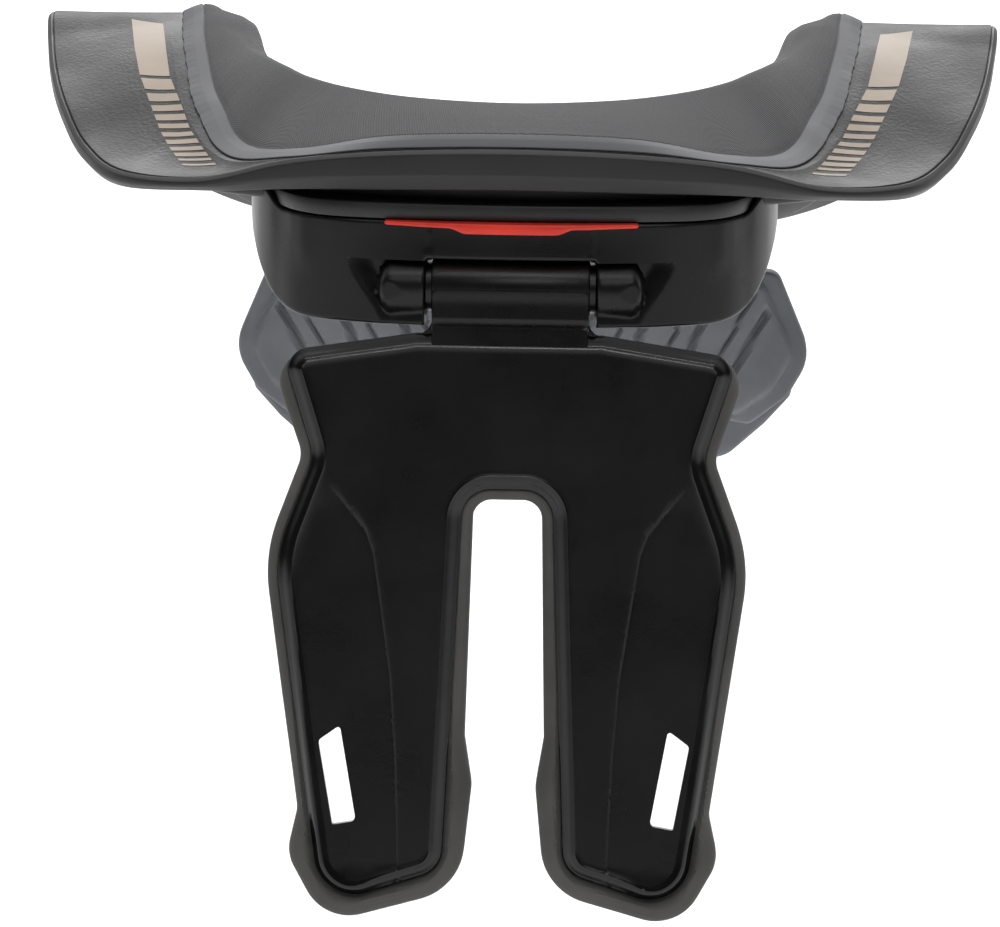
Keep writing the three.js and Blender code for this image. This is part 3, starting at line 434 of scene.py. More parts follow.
def slab(name, loops, spacing, rings, top, bottom, place, materials, extra=None, angle=38, rim_only=False,
         edge_width=None):
    """A sheet of material between two surfaces over a flat outline with holes.

    top and bottom are functions of (x, y, distance from the edge), numbers, or pairs of a number and an edge
    radius. place turns (x, y, height) into space. rings are distances from the edge that get points of their
    own. extra holds more points. rim_only measures from the outer edge alone. Within edge_width of the edge
    the faces take the second material."""
    loops = [resample(np.asarray(loop), spacing) for loop in loops]
    measured = loops[:1] if rim_only else loops
    low, high = loops[0].min(0), loops[0].max(0)
    xs = np.arange(low[0], high[0], spacing)
    ys = np.arange(low[1], high[1], spacing * 0.87)
    grid = np.array([(x + j % 2 * spacing / 2, y) for j, y in enumerate(ys) for x in xs])
    inner = [grid[edge_distance(grid, loops) > rings[-1] + 0.55 * spacing]]
    for ring in rings:
        for loop in measured:
            for moved in (shifted(loop, ring), shifted(loop, -ring)):
                apart = edge_distance(moved, measured) > ring * 0.985
                inner.append(moved[apart & (edge_distance(moved, loops) > 0.15)])
    if extra is not None:
        inner.append(extra[edge_distance(extra, loops) > 0.4])
    inner = np.vstack(inner)
    points = np.vstack(loops + [inner[within(inner, loops)]])
    edges, start = [], 0
    for loop in loops:
        n = len(loop)
        edges += [(start + i, start + (i + 1) % n) for i in range(n)]
        start += n
    found = geo.delaunay_2d_cdt([Vector(p) for p in points], edges, [], 0, 1e-4)
    flat = np.array([tuple(v) for v in found[0]])
    triangles = np.array(found[2])
    triangles = triangles[within(flat[triangles].mean(1), loops)]
    used = np.unique(triangles)
    renumber = np.full(len(flat), -1)
    renumber[used] = np.arange(len(used))
    flat, triangles = flat[used], renumber[triangles]
    d = edge_distance(flat, measured)
    vertices = np.vstack([place(flat[:, 0], flat[:, 1], face_heights(face, flat, d, turn))
                          for face, turn in ((top, 1), (bottom, -1))])
    faces = both_faces([tuple(t) for t in triangles], len(flat))
    indices = None
    if edge_width is not None:
        picked = (d[triangles].mean(1) < edge_width).astype(int)
        indices = np.concatenate([picked, picked, np.ones(len(faces) - 2 * len(picked), int)])
    return make(name, vertices, faces, materials, indices, angle=angle)


def tube_x(name, profile, materials, centre, segments=72):
    """A ring of revolution about an axis along X. profile holds (x, radius) and closes on itself."""
    turn = np.linspace(0, 2 * math.pi, segments, endpoint=False)
    points = [(x, centre[0] + r * math.cos(t), centre[1] + r * math.sin(t)) for t in turn for x, r in profile]
    return make(name, points, grid_faces(segments, len(profile), round_rows=True), materials)


def join(name, things):
    """One object from several."""
    bpy.ops.object.select_all(action="DESELECT")
    for thing in things:
        thing.select_set(True)
    bpy.context.view_layer.objects.active = things[0]
    bpy.ops.object.join()
    things[0].name = name
    things[0].data.name = name
    return things[0]


# Materials
def shader(name, color, roughness, sheen=0.0, specular=0.5):
    material = bpy.data.materials.new(name)
    material.use_nodes = True
    bsdf = material.node_tree.nodes["Principled BSDF"]
    values = {"Base Color": (*color, 1), "Roughness": roughness, "Specular IOR Level": specular,
              "Sheen Weight": sheen, "Sheen Roughness": 0.4}
    for key, value in values.items():
        bsdf.inputs[key].default_value = value
    return material, material.node_tree, bsdf


def feed(tree, socket, source):
    """Links a socket to another one, or sets it to a value."""
    if isinstance(source, bpy.types.NodeSocket):
        tree.links.new(source, socket)
    else:
        socket.default_value = source


def node(tree, kind, *sources, operation=None, **inputs):
    """A node with its first inputs fed in their order, and others by name."""
    made = tree.nodes.new(kind)
    if operation:
        made.operation = operation
    for socket, source in zip(made.inputs, sources):
        feed(tree, socket, source)
    for key, source in inputs.items():
        feed(tree, made.inputs[key], source)
    return made


def sums(tree, operation, *sources):
    """The result of a math node."""
    return node(tree, "ShaderNodeMath", *sources, operation=operation).outputs[0]


def texture_place(tree, source, scale):
    """Texture coordinates in mm: the scale is 1000 for Object, which is in metres, and 1 for UV."""
    coordinates = node(tree, "ShaderNodeTexCoord").outputs[source]
    return node(tree, "ShaderNodeMapping", coordinates, Scale=(scale,) * 3).outputs["Vector"]


def ramp(tree, source, stops):
    made = node(tree, "ShaderNodeValToRGB", source)
    for element, (position, color) in zip(made.color_ramp.elements, stops):
        element.position = position
        element.color = (*color, 1)
    return made.outputs["Color"]


def bump(tree, bsdf, layers):
    """Adds bump layers (height, strength, distance in mm) one after another."""
    inputs = {}
    for height, strength, distance in layers:
        inputs.update(Strength=strength, Distance=distance * MM, Height=height)
        made = node(tree, "ShaderNodeBump", **inputs)
        inputs = {"Normal": made.outputs["Normal"]}
    feed(tree, bsdf.inputs["Normal"], inputs["Normal"])


def shades(tree, bsdf, color, source, dark, light, rough):
    """Base colour and roughness that vary softly with a texture."""
    colors = [(0.35, tuple(c * dark for c in color)), (0.65, tuple(c * light for c in color))]
    feed(tree, bsdf.inputs["Base Color"], ramp(tree, source, colors))
    greys = [(0.3, (rough[0],) * 3), (0.7, (rough[1],) * 3)]
    feed(tree, bsdf.inputs["Roughness"], ramp(tree, source, greys))


def noise(tree, vector, scale, detail=4.0, rough=0.55):
    made = node(tree, "ShaderNodeTexNoise", vector, Scale=scale, Detail=detail, Roughness=rough)
    return made.outputs["Fac"]


def leather_grain(name, color, roughness):
    """Moulded plastic with a fine leather grain: cells about 1 mm across with soft valleys."""
    material, tree, bsdf = shader(name, color, roughness, specular=0.16)
    place = texture_place(tree, "Object", 1000)
    warp = node(tree, "ShaderNodeTexNoise", place, Scale=0.5, Detail=2.0).outputs["Color"]
    shift = node(tree, "ShaderNodeVectorMath", warp, (1.1, 1.1, 1.1), place, operation="MULTIPLY_ADD")
    cells = node(tree, "ShaderNodeTexVoronoi", shift.outputs["Vector"], Scale=0.85)
    cells.feature = "SMOOTH_F1"
    cells.inputs["Smoothness"].default_value = 0.5
    broad = noise(tree, place, 0.06, 3.0)
    shades(tree, bsdf, color, broad, 0.86, 1.16, (roughness - 0.05, roughness + 0.06))
    bump(tree, bsdf, [(cells.outputs["Distance"], 0.35, 0.2), (noise(tree, place, 4.0), 0.14, 0.1)])
    return material


KNIT = dict(angle=32, across=0.95, along=0.85)


def woven(name, color):
    """A knitted spacer mesh: rows of small dimples that run at an angle."""
    material, tree, bsdf = shader(name, color, 0.85, sheen=0.25, specular=0.25)
    turn = node(tree, "ShaderNodeMapping", texture_place(tree, "UV", 1),
                Rotation=(0, 0, math.radians(KNIT["angle"])),
                Scale=(2 * math.pi / KNIT["across"], 2 * math.pi / KNIT["along"], 1))
    split = node(tree, "ShaderNodeSeparateXYZ", turn.outputs["Vector"])
    waves = [sums(tree, "SINE", split.outputs[axis]) for axis in ("X", "Y")]
    knit = sums(tree, "MULTIPLY_ADD", sums(tree, "MULTIPLY", *waves), 0.5, 0.5)
    colors = [(0.2, tuple(c * 0.55 for c in color)), (0.75, tuple(c * 1.35 for c in color))]
    feed(tree, bsdf.inputs["Base Color"], ramp(tree, knit, colors))
    solid = texture_place(tree, "Object", 1000)
    bump(tree, bsdf, [(noise(tree, solid, 0.05, 3.0), 0.12, 1.2), (knit, 0.8, 0.25),
                      (noise(tree, solid, 5.0), 0.3, 0.08)])
    return material


def moulded(name, color, roughness, grain=2.6, strength=0.22, specular=0.5):
    """Plastic, rubber or foam with a fine even grain, and soft marks over larger areas."""
    material, tree, bsdf = shader(name, color, roughness, specular=specular)
    place = texture_place(tree, "Object", 1000)
    marks = noise(tree, place, 0.035, 4.0)
    shades(tree, bsdf, color, marks, 0.84, 1.16, (roughness - 0.06, roughness + 0.07))
    bump(tree, bsdf, [(noise(tree, place, grain, 5.0, 0.6), strength, 0.12),
                      (noise(tree, place, 0.12, 2.0), 0.1, 0.5)])
    return material


def metal(name, color):
    material, tree, bsdf = shader(name, color, 0.3)
    bsdf.inputs["Metallic"].default_value = 1
    place = texture_place(tree, "Object", 1000)
    shades(tree, bsdf, color, noise(tree, place, 0.4), 0.85, 1.1, (0.24, 0.4))
    bump(tree, bsdf, [(noise(tree, place, 6.0), 0.1, 0.05)])
    return material


SHELL = leather_grain("table_shell", (0.013, 0.013, 0.0145), 0.46)
RIM_BLACK = moulded("table_rim", (0.012, 0.012, 0.013), 0.44, grain=1.8, strength=0.2)
FABRIC = woven("collar_fabric", (0.06, 0.06, 0.063))
STRIP = moulded("collar_strip", (0.058, 0.059, 0.065), 0.6, grain=3.5, strength=0.15, specular=0.3)
CHASSIS = moulded("chassis_plastic", (0.014, 0.014, 0.015), 0.42)
GLOSS = moulded("gloss_black", (0.0035, 0.0035, 0.0038), 0.3, grain=2.2, strength=0.3, specular=0.32)
SMOOTH_BLACK = moulded("smooth_black", (0.003, 0.003, 0.0033), 0.17, grain=0.8, strength=0.05,
                       specular=0.4)
RED = moulded("tab_red", (0.8, 0.045, 0.025), 0.4, grain=3.0, strength=0.1, specular=0.35)
STEEL = metal("pin_steel", (0.45, 0.45, 0.46))
STRUT_FOAM = moulded("strut_foam", (0.085, 0.083, 0.08), 0.75, grain=1.4, strength=0.3, specular=0.25)
CHEST_FOAM = moulded("chest_foam", (0.19, 0.2, 0.215), 0.72, grain=1.4, strength=0.25, specular=0.25)
STRIPE = moulded("stripe_tan", (0.29, 0.235, 0.18), 0.5, grain=1.6, strength=0.2, specular=0.3)


# Helmet table. Sections are drawn as (way out, height, radius) corners.
FILLET_POINTS = 6
WING_STEPS = 14
# Where the wing's dish ends and its rim is lower, as places along the ring
FRONT_DISH = dict(start=5.2, end=8.6)
LOW_RIM = dict(drop=1.4, start=3.0, full=4.6, less=6.4, end=8.6)


def wing_height(s, t):
    """The wing's top between the seam, t = 0, and the outer edge, t = 1: dished where it is wide and low."""
    fade = 1 - 0.92 * smooth(s.u, FRONT_DISH["start"], FRONT_DISH["end"])
    dish = TABLE["dish"] * np.clip((1 - s.seam) / 0.5, 0, 1) * fade
    return mix(s.seam_z - CURVED_GAP / 2, s.edge, t) - dish * np.sin(math.pi * np.clip(t, 0, 1)) ** 0.9


def table_section(s):
    w = s.width
    seam = s.seam * w
    start, full, less, end = (LOW_RIM[key] for key in ("start", "full", "less", "end"))
    base = s.base - LOW_RIM["drop"] * smooth(s.u, start, full) * (1 - smooth(s.u, less, end))
    crease = 0.1 + 0.6 * smooth(s.u, 2.4, 4.2)
    wing = [(mix(seam, w - 1.5, t), wing_height(s, t), 0.3) for t in np.linspace(0, 1, WING_STEPS)[1:-1]]
    inner = TABLE["inner_step"]
    return fillet([
        (inner, s.underside(0), 1.0),
        (inner, s.table_top_inner(), 1.0),
        (s.seal * w, s.table_top_seal(), 0.6),
        (seam - 1.7, s.seam_z - CURVED_GAP - 0.3, 0.3),
        (seam - 1.1, s.seam_z - CURVED_GAP / 2, 0.2),
        *wing,
        (w - 2.1, s.edge, 0.3),
        (w - 1.75, s.edge - crease, 0.1),
        (w - 1.3, s.edge - crease / 2, 0.2),
        (w - 0.1, s.edge - 1.3, 0.9),
        (w, mix(s.edge, base, 0.62), 2.0),
        (w - 2.6, base, 1.0),
        (0.5 * w, s.underside(0.5), 3.0),
    ])


def table_face(k):
    """The leather grain covers the wing's top. The rim and what is below are smooth."""
    return 0 if k // FILLET_POINTS <= 4 + WING_STEPS - 1 else 1


def build_tables():
    rear, front = ring_pair("_table_shell", (150, 110), table_section, [SHELL, RIM_BLACK], table_face, 30)
    for thing, cad in ((rear, "rear_table"), (front, "front_table")):
        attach(thing, "brace")
        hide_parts(cad)
    return rear


# Collar pads: woven foam on the neck side, with a smooth strip along its outer edge
STATION_STEP = 17.0    # mm from one station to the next, about
GLUE_WAVES = [(0.14, 0.71, 0.0), (0.1, 1.93, 1.0), (0.05, 4.7, 2.0)]
SHOULDER = dict(at=9.9, wide=0.9, crown=1.3, rise=1.6)    # where the pad is fuller, over the shoulder


def ragged(s):
    """The glued strip's outer edge wanders a little along the wings: waves of (size, per mm, phase)."""
    way = s.u * STATION_STEP * s.side
    wander = sum(size * math.sin(way * rate + phase) for size, rate, phase in GLUE_WAVES)
    return wander * float(smooth(s.u, 3.0, 4.5))


def collar_section(s):
    w = s.width
    roll = COLLAR["roll"]
    inner = TABLE["inner_step"] - GAP
    seal, seam = s.seal * w, s.seam * w - COLLAR["seam"] + ragged(s)
    wall = s.table_top_inner() - COLLAR["wrap"]
    shoulder = math.exp(-((s.u - SHOULDER["at"]) / SHOULDER["wide"]) ** 2)
    bulge = 0.55 + 0.5 * math.sin(math.pi * min(1, max(0, s.u / 8))) + SHOULDER["crown"] * shoulder
    middle = [(mix(roll * s.roll, seal, t), mix(s.rim, s.seal_z, t) + bulge * math.sin(math.pi * t), 4.0)
              for t in (0.14, 0.3, 0.46, 0.62, 0.78, 0.92)]
    return fillet([
        (inner, s.table_top_inner() + CURVED_GAP, 0.5),
        (seal, s.table_top_seal() + CURVED_GAP, 0.5),
        (seam, s.seam_z - 0.22, 0.12),
        (seam - 0.12, s.seam_z + 0.2, 0.3),
        (mix(seam, seal, 0.5), mix(s.seam_z, s.seal_z, 0.5) + 0.45, 6.0),
        (seal + 0.75, s.seal_z + 0.1, 0.45),
        (seal + 0.1, s.seal_z - 0.3, 0.2),
        (seal - 0.75, s.seal_z + 0.25, 0.5),
        *reversed(middle),
        (roll * s.roll, s.rim + SHOULDER["rise"] * shoulder, 5.0),
        (mix(-1, s.roll, 0.5) * roll, s.rim - 0.45 * roll, 4.0),
        (mix(-1, s.roll, 0.12) * roll, s.rim - 1.3 * roll, 4.0),
        (-roll, s.rim - 2.3 * roll, 3.0),
        (-roll, wall, 1.2),
        (inner, wall, 0.6),
    ])


def collar_face(k):
    """The strip's corners come first, and the woven ones after them."""
    return 1 if k // FILLET_POINTS <= 5 else 0


def build_collars():
    rear, front = ring_pair("_collar", (260, 180), collar_section, [FABRIC, STRIP], collar_face)
    for thing, cad in ((rear, "rear_collar_pad"), (front, "front_collar_pad")):
        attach(thing, "brace")
        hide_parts(cad)


# Stripes on the wings: a block, and bars that get thinner to the rear. Each is a thin sheet on the table.
SHEET = dict(columns=10, row=1.5, above=0.1, below=-0.2, ray_from=60)


def on_surface(tree, x, y, lift):
    place, normal, _, _ = tree.ray_cast(Vector((x, y, SHEET["ray_from"])) * MM, Vector((0, 0, -1)))
    return (place + normal * lift * MM) / MM


def build_stripes(table):
    tree = BVHTree.FromObject(table, bpy.context.evaluated_depsgraph_get())
    ys, outer, inner = (np.array(c)[::-1] for c in zip(*STRIPE_BAND))
    columns = SHEET["columns"]
    for side, name in ((-1, "wing_stripes_left"), (1, "wing_stripes_right")):
        vertices, faces = [], []
        for front, rear in STRIPE_BARS:
            rows = max(2, int((front - rear) / SHEET["row"]))
            first = len(vertices)
            for lift in (SHEET["above"], SHEET["below"]):
                for i in range(rows + 1):
                    for j in range(columns + 1):
                        y = mix(rear, front, i / rows)
                        x = mix(np.interp(y, ys, inner), np.interp(y, ys, outer), j / columns)
                        y += STRIPE_SLANT * (j / columns - 0.5) * (np.interp(y, ys, outer - inner))
                        vertices.append(on_surface(tree, side * x, y, lift))
            sheet = grid_faces(rows + 1, columns + 1, round_columns=False, first=first)
            faces += both_faces(sheet, (rows + 1) * (columns + 1))
        thing = make(name, vertices, faces, [STRIPE], angle=50)
        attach(thing, "brace")


# Chassis under the table
def band_section(s, inner=BAND["inner"], outer=BAND["outer"], drop=CURVED_GAP, thick=BAND["thick"]):
    w = s.width
    r = thick / 4
    return fillet([
        (outer * w, s.underside(outer) - drop, 1.2),
        (0.5 * w, s.underside(0.5) - drop, 1.0),
        (inner * w, s.underside(inner) - drop, 1.2),
        (inner * w, s.underside(inner) - drop - thick, r),
        (outer * w, s.underside(outer) - drop - thick, r),
    ])


def lip_edge(x):
    """Y of the lip's rear edge: nearly straight, with round ends."""
    drop = x * x / (2 * LIP["arc"]) + LIP["corner"] * (np.abs(x) / LIP["half_width"]) ** 9
    return -LIP["reach"] + drop


def rear_arc(radius, reach, half_width, steps):
    """A shallow arc across the back, from left to right."""
    x = np.linspace(-half_width, half_width, steps)
    return np.stack([x, -reach + radius - np.sqrt(radius ** 2 - x * x)], 1)


def flat_place(x, y, z):
    return np.stack([x, y, z], 1)


POST = dict(x=28.0, half=5.0, rear=-104.0, front=-92.0, top=-17.6, sunk=1.0, corner=1.5)


def build_rear_chassis():
    arms = ring_loft("rear_arms", ring_places(0, REAR_END, 120), band_section, [CHASSIS])
    x = LIP["half_width"] * np.sin(np.linspace(-math.pi / 2, math.pi / 2, 120))
    rear = np.stack([x, lip_edge(x)], 1)
    front = (rear * ((LIP["half_width"] - LIP["taper"]) / LIP["half_width"], 1) + (0, LIP["depth"]))[::-1]
    top, low = LIP["top"], LIP["top"] - LIP["thick"]
    lip = slab("lip", [np.vstack([rear, front])], 2.4, [0.25, 0.7, 1.3], (top, 0.9), (low, 0.7), flat_place,
               [CHASSIS])
    posts = []
    for x in (-POST["x"], POST["x"]):
        right = [(POST["half"], POST["rear"], POST["corner"]), (POST["half"], POST["front"], POST["corner"])]
        corners = [(x + dx, y, r) for dx, y, r in both_sides(right)]
        posts.append(slab("post", [fillet(corners, 5)], 2.5, [0.5], POST["top"], top - POST["sunk"],
                          flat_place, [CHASSIS]))
    thing = join("rear_chassis_moulding", [arms, lip, *posts])
    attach(thing, "brace")
    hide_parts("rear_chassis")


# The rear frame: a hood drawn flat over (way along its wall, height) and bent round its plan curve
LIP_BOTTOM = LIP["top"] - LIP["thick"]
FRAME_TOP = LIP_BOTTOM - GAP


def wall_curve(count=400):
    """Points of the wall's plan curve on the right, with the way along it, its normal and its lower edge."""
    rows = np.array(WALL_ROWS)
    last = len(rows) - 1

    def value(i):
        return rows[min(abs(i), last)] * ((-1, 1, 1) if i < 0 else (1, 1, 1))

    made = np.array([curve(value, last * k / count, last) for k in range(count + 1)])
    made *= (WALL["half_width"], -WALL["reach"], WALL["height"])
    step = np.linalg.norm(np.diff(made[:, :2], axis=0), axis=1)
    way = np.concatenate([[0], np.cumsum(step)])
    ahead = np.gradient(made[:, :2], axis=0)
    ahead[0] = (1, 0)
    ahead /= np.linalg.norm(ahead, axis=1)[:, None]
    return way, made, ahead


WALL_WAY, WALL_PLAN, WALL_AHEAD = wall_curve()


def at_way(s, values):
    """One of the wall's columns at a way along it, the same on both sides."""
    return np.interp(np.abs(s), WALL_WAY, values)


def wall_place(s, z, h):
    """(way along the wall, height, how far out of its outer face) as a point."""
    side = np.where(s < 0, -1, 1)
    x, y, ax, ay = (at_way(s, values) for values in (*WALL_PLAN.T[:2], *WALL_AHEAD.T))
    return np.stack([(x + ay * h) * side, y - ax * h, z], 1)


def wall_x(s):
    return at_way(s, WALL_PLAN[:, 0]) * np.sign(s)


def wall_way_at(x):
    return float(np.interp(x, WALL_PLAN[:, 0], WALL_WAY))


LEAN = dict(most=3, full=60, none=72)


def wall_lean(x, y):
    """How far forward the wall's top leans from its lower edge, so that it stays under the lip."""
    over = np.clip(lip_edge(x) + FRAME["above"] - y, 0, LEAN["most"])
    return over * (1 - smooth(np.abs(x), LEAN["full"], LEAN["none"]))


# The hood's ends rise beside the lip. Its pocket narrows downwards, and a soft ridge stands beside it.
HOOD_RISE = dict(start=67, low=68, high=74)
RIDGE = dict(x=61, width=2.4, out=0.5, low_z=-46, high_z=-36)
HINGE_STEP = dict(deep=1.1, start=1.2, end=0.2)
POCKET = dict(low_x=38.0, low_z=-57.0, high_x=47.5, high_z=-37.0, depth=3.8, deepest=4.4)
HINGE_SIDE = HINGE["half"] + HINGE["gap"]
HINGE_TOP = HINGE["z"] + HINGE["radius"] + FRAME["above"]
POCKET_TOP = HINGE_TOP - 0.2


def frame_outline():
    """The hood's outline from the middle of its top, with the room for the hinge."""
    side = wall_way_at(HINGE_SIDE)
    ways = np.linspace(side, WALL_WAY[-1], 60)
    right = [(0, HINGE_TOP), (side - 0.8, HINGE_TOP), (side, HINGE_TOP - 0.8)]
    right += list(zip(ways, FRAME_TOP - np.interp(ways, WALL_WAY, WALL_PLAN[:, 2])))
    start, low, high = (wall_way_at(HOOD_RISE[key]) for key in ("start", "low", "high"))
    rise = np.linspace(start, WALL_WAY[-1], 16)[::-1]
    top = FRAME_TOP + LIP["thick"] * smooth(rise, low, high)
    right += list(zip(rise, top))
    left = [(-s, z) for s, z in reversed(right[1:])]
    return np.array(right + left)


def knuckle_face(x, z, y):
    """How far the round knuckle stands out of the wall: straight first, then rounded off towards the side."""
    past = np.clip(x - HINGE_SIDE - KNUCKLE["straight"] * KNUCKLE["wide"], 0, None) / KNUCKLE["rounding"]
    radius = (HINGE["radius"] + 0.1) * np.sqrt(np.clip(1 - past ** 2, 0, 1))
    height = z - HINGE["z"]
    depth = np.sqrt(np.clip(radius ** 2 - height ** 2, 0, None))
    return np.where(np.abs(height) < radius, depth - HINGE["y"] + y, -9.0)


def pocket_side(z):
    """Where the pocket beside a knuckle ends: wide under its upper edge and nothing at the bottom."""
    return mix(POCKET["low_x"], POCKET["high_x"], smooth(z, POCKET["low_z"], POCKET["high_z"]))


def soft_max(a, b, sharp):
    """The larger value, with a rounded passage from one to the other."""
    return np.log(np.exp(sharp * np.clip(a, -9, 9)) + np.exp(sharp * np.clip(b, -9, 9))) / sharp


def frame_relief(s, z, d):
    """The outer face: its top leans under the lip, a pocket leaves the knuckles standing, and the middle is
    sunk."""
    x = np.abs(wall_x(s))
    y = at_way(s, WALL_PLAN[:, 1])
    out = -quarter(d, 1.1) - wall_lean(x, y) * smooth(z, FRAME_TOP - 22, FRAME_TOP)
    behind = smooth(x, HINGE_SIDE - HINGE_STEP["start"], HINGE_SIDE - HINGE_STEP["end"])
    out = out - HINGE_STEP["deep"] * (1 - behind)
    ridge = RIDGE["out"] * np.exp(-((x - RIDGE["x"]) / RIDGE["width"]) ** 2)
    out = out + ridge * smooth(z, RIDGE["low_z"], RIDGE["high_z"])
    side = pocket_side(z)
    outline_low = FRAME_TOP - WALL["height"]
    pocket = -POCKET["depth"] * (1 - smooth(x, side - 6, side + 1))
    lower = -0.5 - 0.05 * (z - outline_low) ** 2
    sunk = soft_max(soft_max(pocket, knuckle_face(x, z, y), 3.0), lower, 2.0)
    sunk = np.clip(sunk - quarter(d, 0.9), -POCKET["deepest"], 2.0)
    here = (x > HINGE_SIDE - 0.1) & (x < side + 1) & (z < POCKET_TOP)
    return np.where(here, np.minimum(sunk, np.maximum(out, knuckle_face(x, z, y))), out)


def pocket_points():
    """Close points over the knuckles and pockets, and along the edge above them."""
    ways = [wall_way_at(HINGE_SIDE + 0.3), wall_way_at(50.0)]
    over = [(way, z) for way in np.arange(*ways, 0.7) for z in np.arange(-56.6, POCKET_TOP - 0.5, 0.7)]
    edge = [(way, POCKET_TOP + dz) for way in np.arange(*ways, 0.35) for dz in (-0.25, 0.02, 0.3)]
    right = np.array(over + edge)
    return np.vstack([right, right * (-1, 1)])


def build_rear_frame():
    outline = frame_outline()

    def inner_face(s, z, d):
        return -FRAME["wall"] - POCKET["deepest"] * (1 - smooth(np.abs(wall_x(s)), 50, 60))

    wall = slab("hood", [outline], 1.25, [0.2, 0.5, 0.9, 1.4], frame_relief, inner_face, wall_place, [GLOSS],
                extra=pocket_points())
    keep = WALL_PLAN[:, 1] < -WALL["reach"] + FRAME["top_depth"]
    edge, ahead = WALL_PLAN[keep][:, :2], WALL_AHEAD[keep]
    edge = edge + np.stack([-ahead[:, 1], ahead[:, 0]], 1) * 2.6
    edge[:, 1] += wall_lean(WALL_PLAN[keep][:, 0], WALL_PLAN[keep][:, 1])
    rim = np.vstack([edge[:0:-8] * (-1, 1), edge[::8]])
    shelf = slab("shelf", [rim], 3.0, [0.5], FRAME_TOP, (FRAME_TOP - FRAME["top_thick"], 0.5), flat_place,
                 [GLOSS])
    parts = [wall, shelf]
    inner, r = HINGE_SIDE, HINGE["radius"] - 0.3
    long = inner + KNUCKLE["wide"]
    bore = PIN["radius"] + PIN["clearance"]
    for side in (-1, 1):
        profile = [(inner, bore), (inner, r - 0.8), (inner + 0.24, r - 0.24), (inner + 0.8, r),
                   (long - 8.0, r), (long - 6.5, r - 1.4), (long - 5.4, r - 3.8), (long - 5.4, bore)]
        profile = [(side * x, radius) for x, radius in profile]
        parts.append(tube_x("knuckle", profile, [GLOSS], (HINGE["y"], HINGE["z"])))
    thing = join("rear_frame_hood", parts)
    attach(thing, "brace")
    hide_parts("rear_frame")


# The red lock tab
def build_tab():
    top = LIP_BOTTOM - GAP
    reach = LIP["reach"] + TAB["out"]
    rear = rear_arc(TAB["radius"], reach, TAB["half_width"], 60)
    front = -reach + TAB["depth"]
    outline = np.vstack([rear, [(TAB["half_width"], front), (-TAB["half_width"], front)]])

    def low(x, y, d):
        a = np.abs(x)
        grip = 1 - smooth(a, GRIP["half_width"], GRIP["half_width"] + GRIP["slope"])
        near = 1 - smooth(y + reach, GRIP["depth"] - 0.8, GRIP["depth"] + 0.4)
        thin = 0.35 * smooth(a, 20, TAB["half_width"])
        return top - TAB["thick"] + thin - GRIP["drop"] * grip * near + quarter(d, 0.45)

    thing = slab("red_lock_tab", [outline], 1.2, [0.12, 0.3, 0.5], (top, 0.4), low, flat_place, [RED])
    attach(thing, "tab")
    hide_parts("lock_tab")


# The strut, drawn in its own frame: x to the right, y up from the hinge, h out of the page to the rear
TILT = math.radians(STRUT["tilt"])


def strut_place(x, y, h):
    depth = -np.asarray(h, float)
    x, y = np.asarray(x, float), np.asarray(y, float)
    c, s = math.cos(TILT), math.sin(TILT)
    return np.stack([x, HINGE["y"] + depth * c + y * s, HINGE["z"] - depth * s + y * c], 1)


def strut_corner(c):
    return (c[0] * STRUT["half_width"], -c[1] * STRUT["tall"], c[2] * STRUT["half_width"])


def plate_corners():
    slot = (SPINE["half_width"], -SPINE["top"], SPINE["corner"])
    return both_sides([*map(strut_corner, STRUT_CORNERS), slot])


def strap_hole(side, extra=0.0):
    """One strap slot: leaning, with its upper outer corner cut off."""
    w, h = STRAP["wide"] / 2 + extra, STRAP["long"] / 2 + extra
    r = STRAP["corner"]
    corners = [(-w, h, 0.5 * r), (w, h - STRAP["cut"], r), (w, -h, 0.4 * r), (-w, -h, r)]
    p = fillet(corners, 6)
    a = math.radians(-STRAP["lean"])
    c, s = math.cos(a), math.sin(a)
    drop = max(corner[1] for corner in STRUT_CORNERS) * STRUT["tall"] - STRAP["to_end"]
    p = np.stack([p[:, 0] * c - p[:, 1] * s + STRAP["x"], p[:, 0] * s + p[:, 1] * c - drop], 1)
    return p * (side, 1)


PLATE_BACK = STRUT["face"] - STRUT["thick"]
# The crease on each leg: how far out it is and its height
LEG_CREASE = [(52.5, -58.0), (46.7, -65.0), (41.5, -71.5), (39.2, -78.0), (36.7, -94.5), (33.7, -115.2),
              (32.0, -139.4), (31.3, -158.0), (30.9, -176.0)]


def crease_x(y):
    """How far out the leg's crease is at a height."""
    x, drop = np.array(LEG_CREASE).T
    return np.interp(-y, -drop, x)


RIM = dict(wide=3.4, narrow=1.9, drop=2.1, bead=0.36, bead_width=0.42, gloss=4.4)
CREASE = dict(start=-56, end=-176, every=0.9, step=0.32, groove=0.3, width=0.38)


def rim_width(x, y):
    """Wide, but narrow down the legs' outer side."""
    return mix(RIM["wide"], RIM["narrow"], smooth(-y, 80, 150) * smooth(np.abs(x), 34, 48))


def plate_relief(x, y, d):
    """The plate's rear face: a rounded edge, a sloping rim, a fine bead, and a groove with a shallow step on
    each leg."""
    rim = rim_width(x, y)
    down = RIM["drop"] * (1 - smooth(d, 0.2, rim)) + 0.5 * quarter(d, 0.7)
    bead = RIM["bead"] * np.exp(-((d - rim - 0.6) / RIM["bead_width"]) ** 2) * (rim / RIM["wide"])
    side = np.abs(x) - crease_x(y)
    leg = smooth(-y, 55, 66) * (1 - smooth(-y, 172, 176)) * smooth(d, rim + 1.0, rim + 2.5)
    groove = CREASE["groove"] * np.exp(-(side / CREASE["width"]) ** 2)
    step = (CREASE["step"] * smooth(side, -0.5, 0.7) + groove) * leg
    return STRUT["face"] - 0.3 - down + bead - step


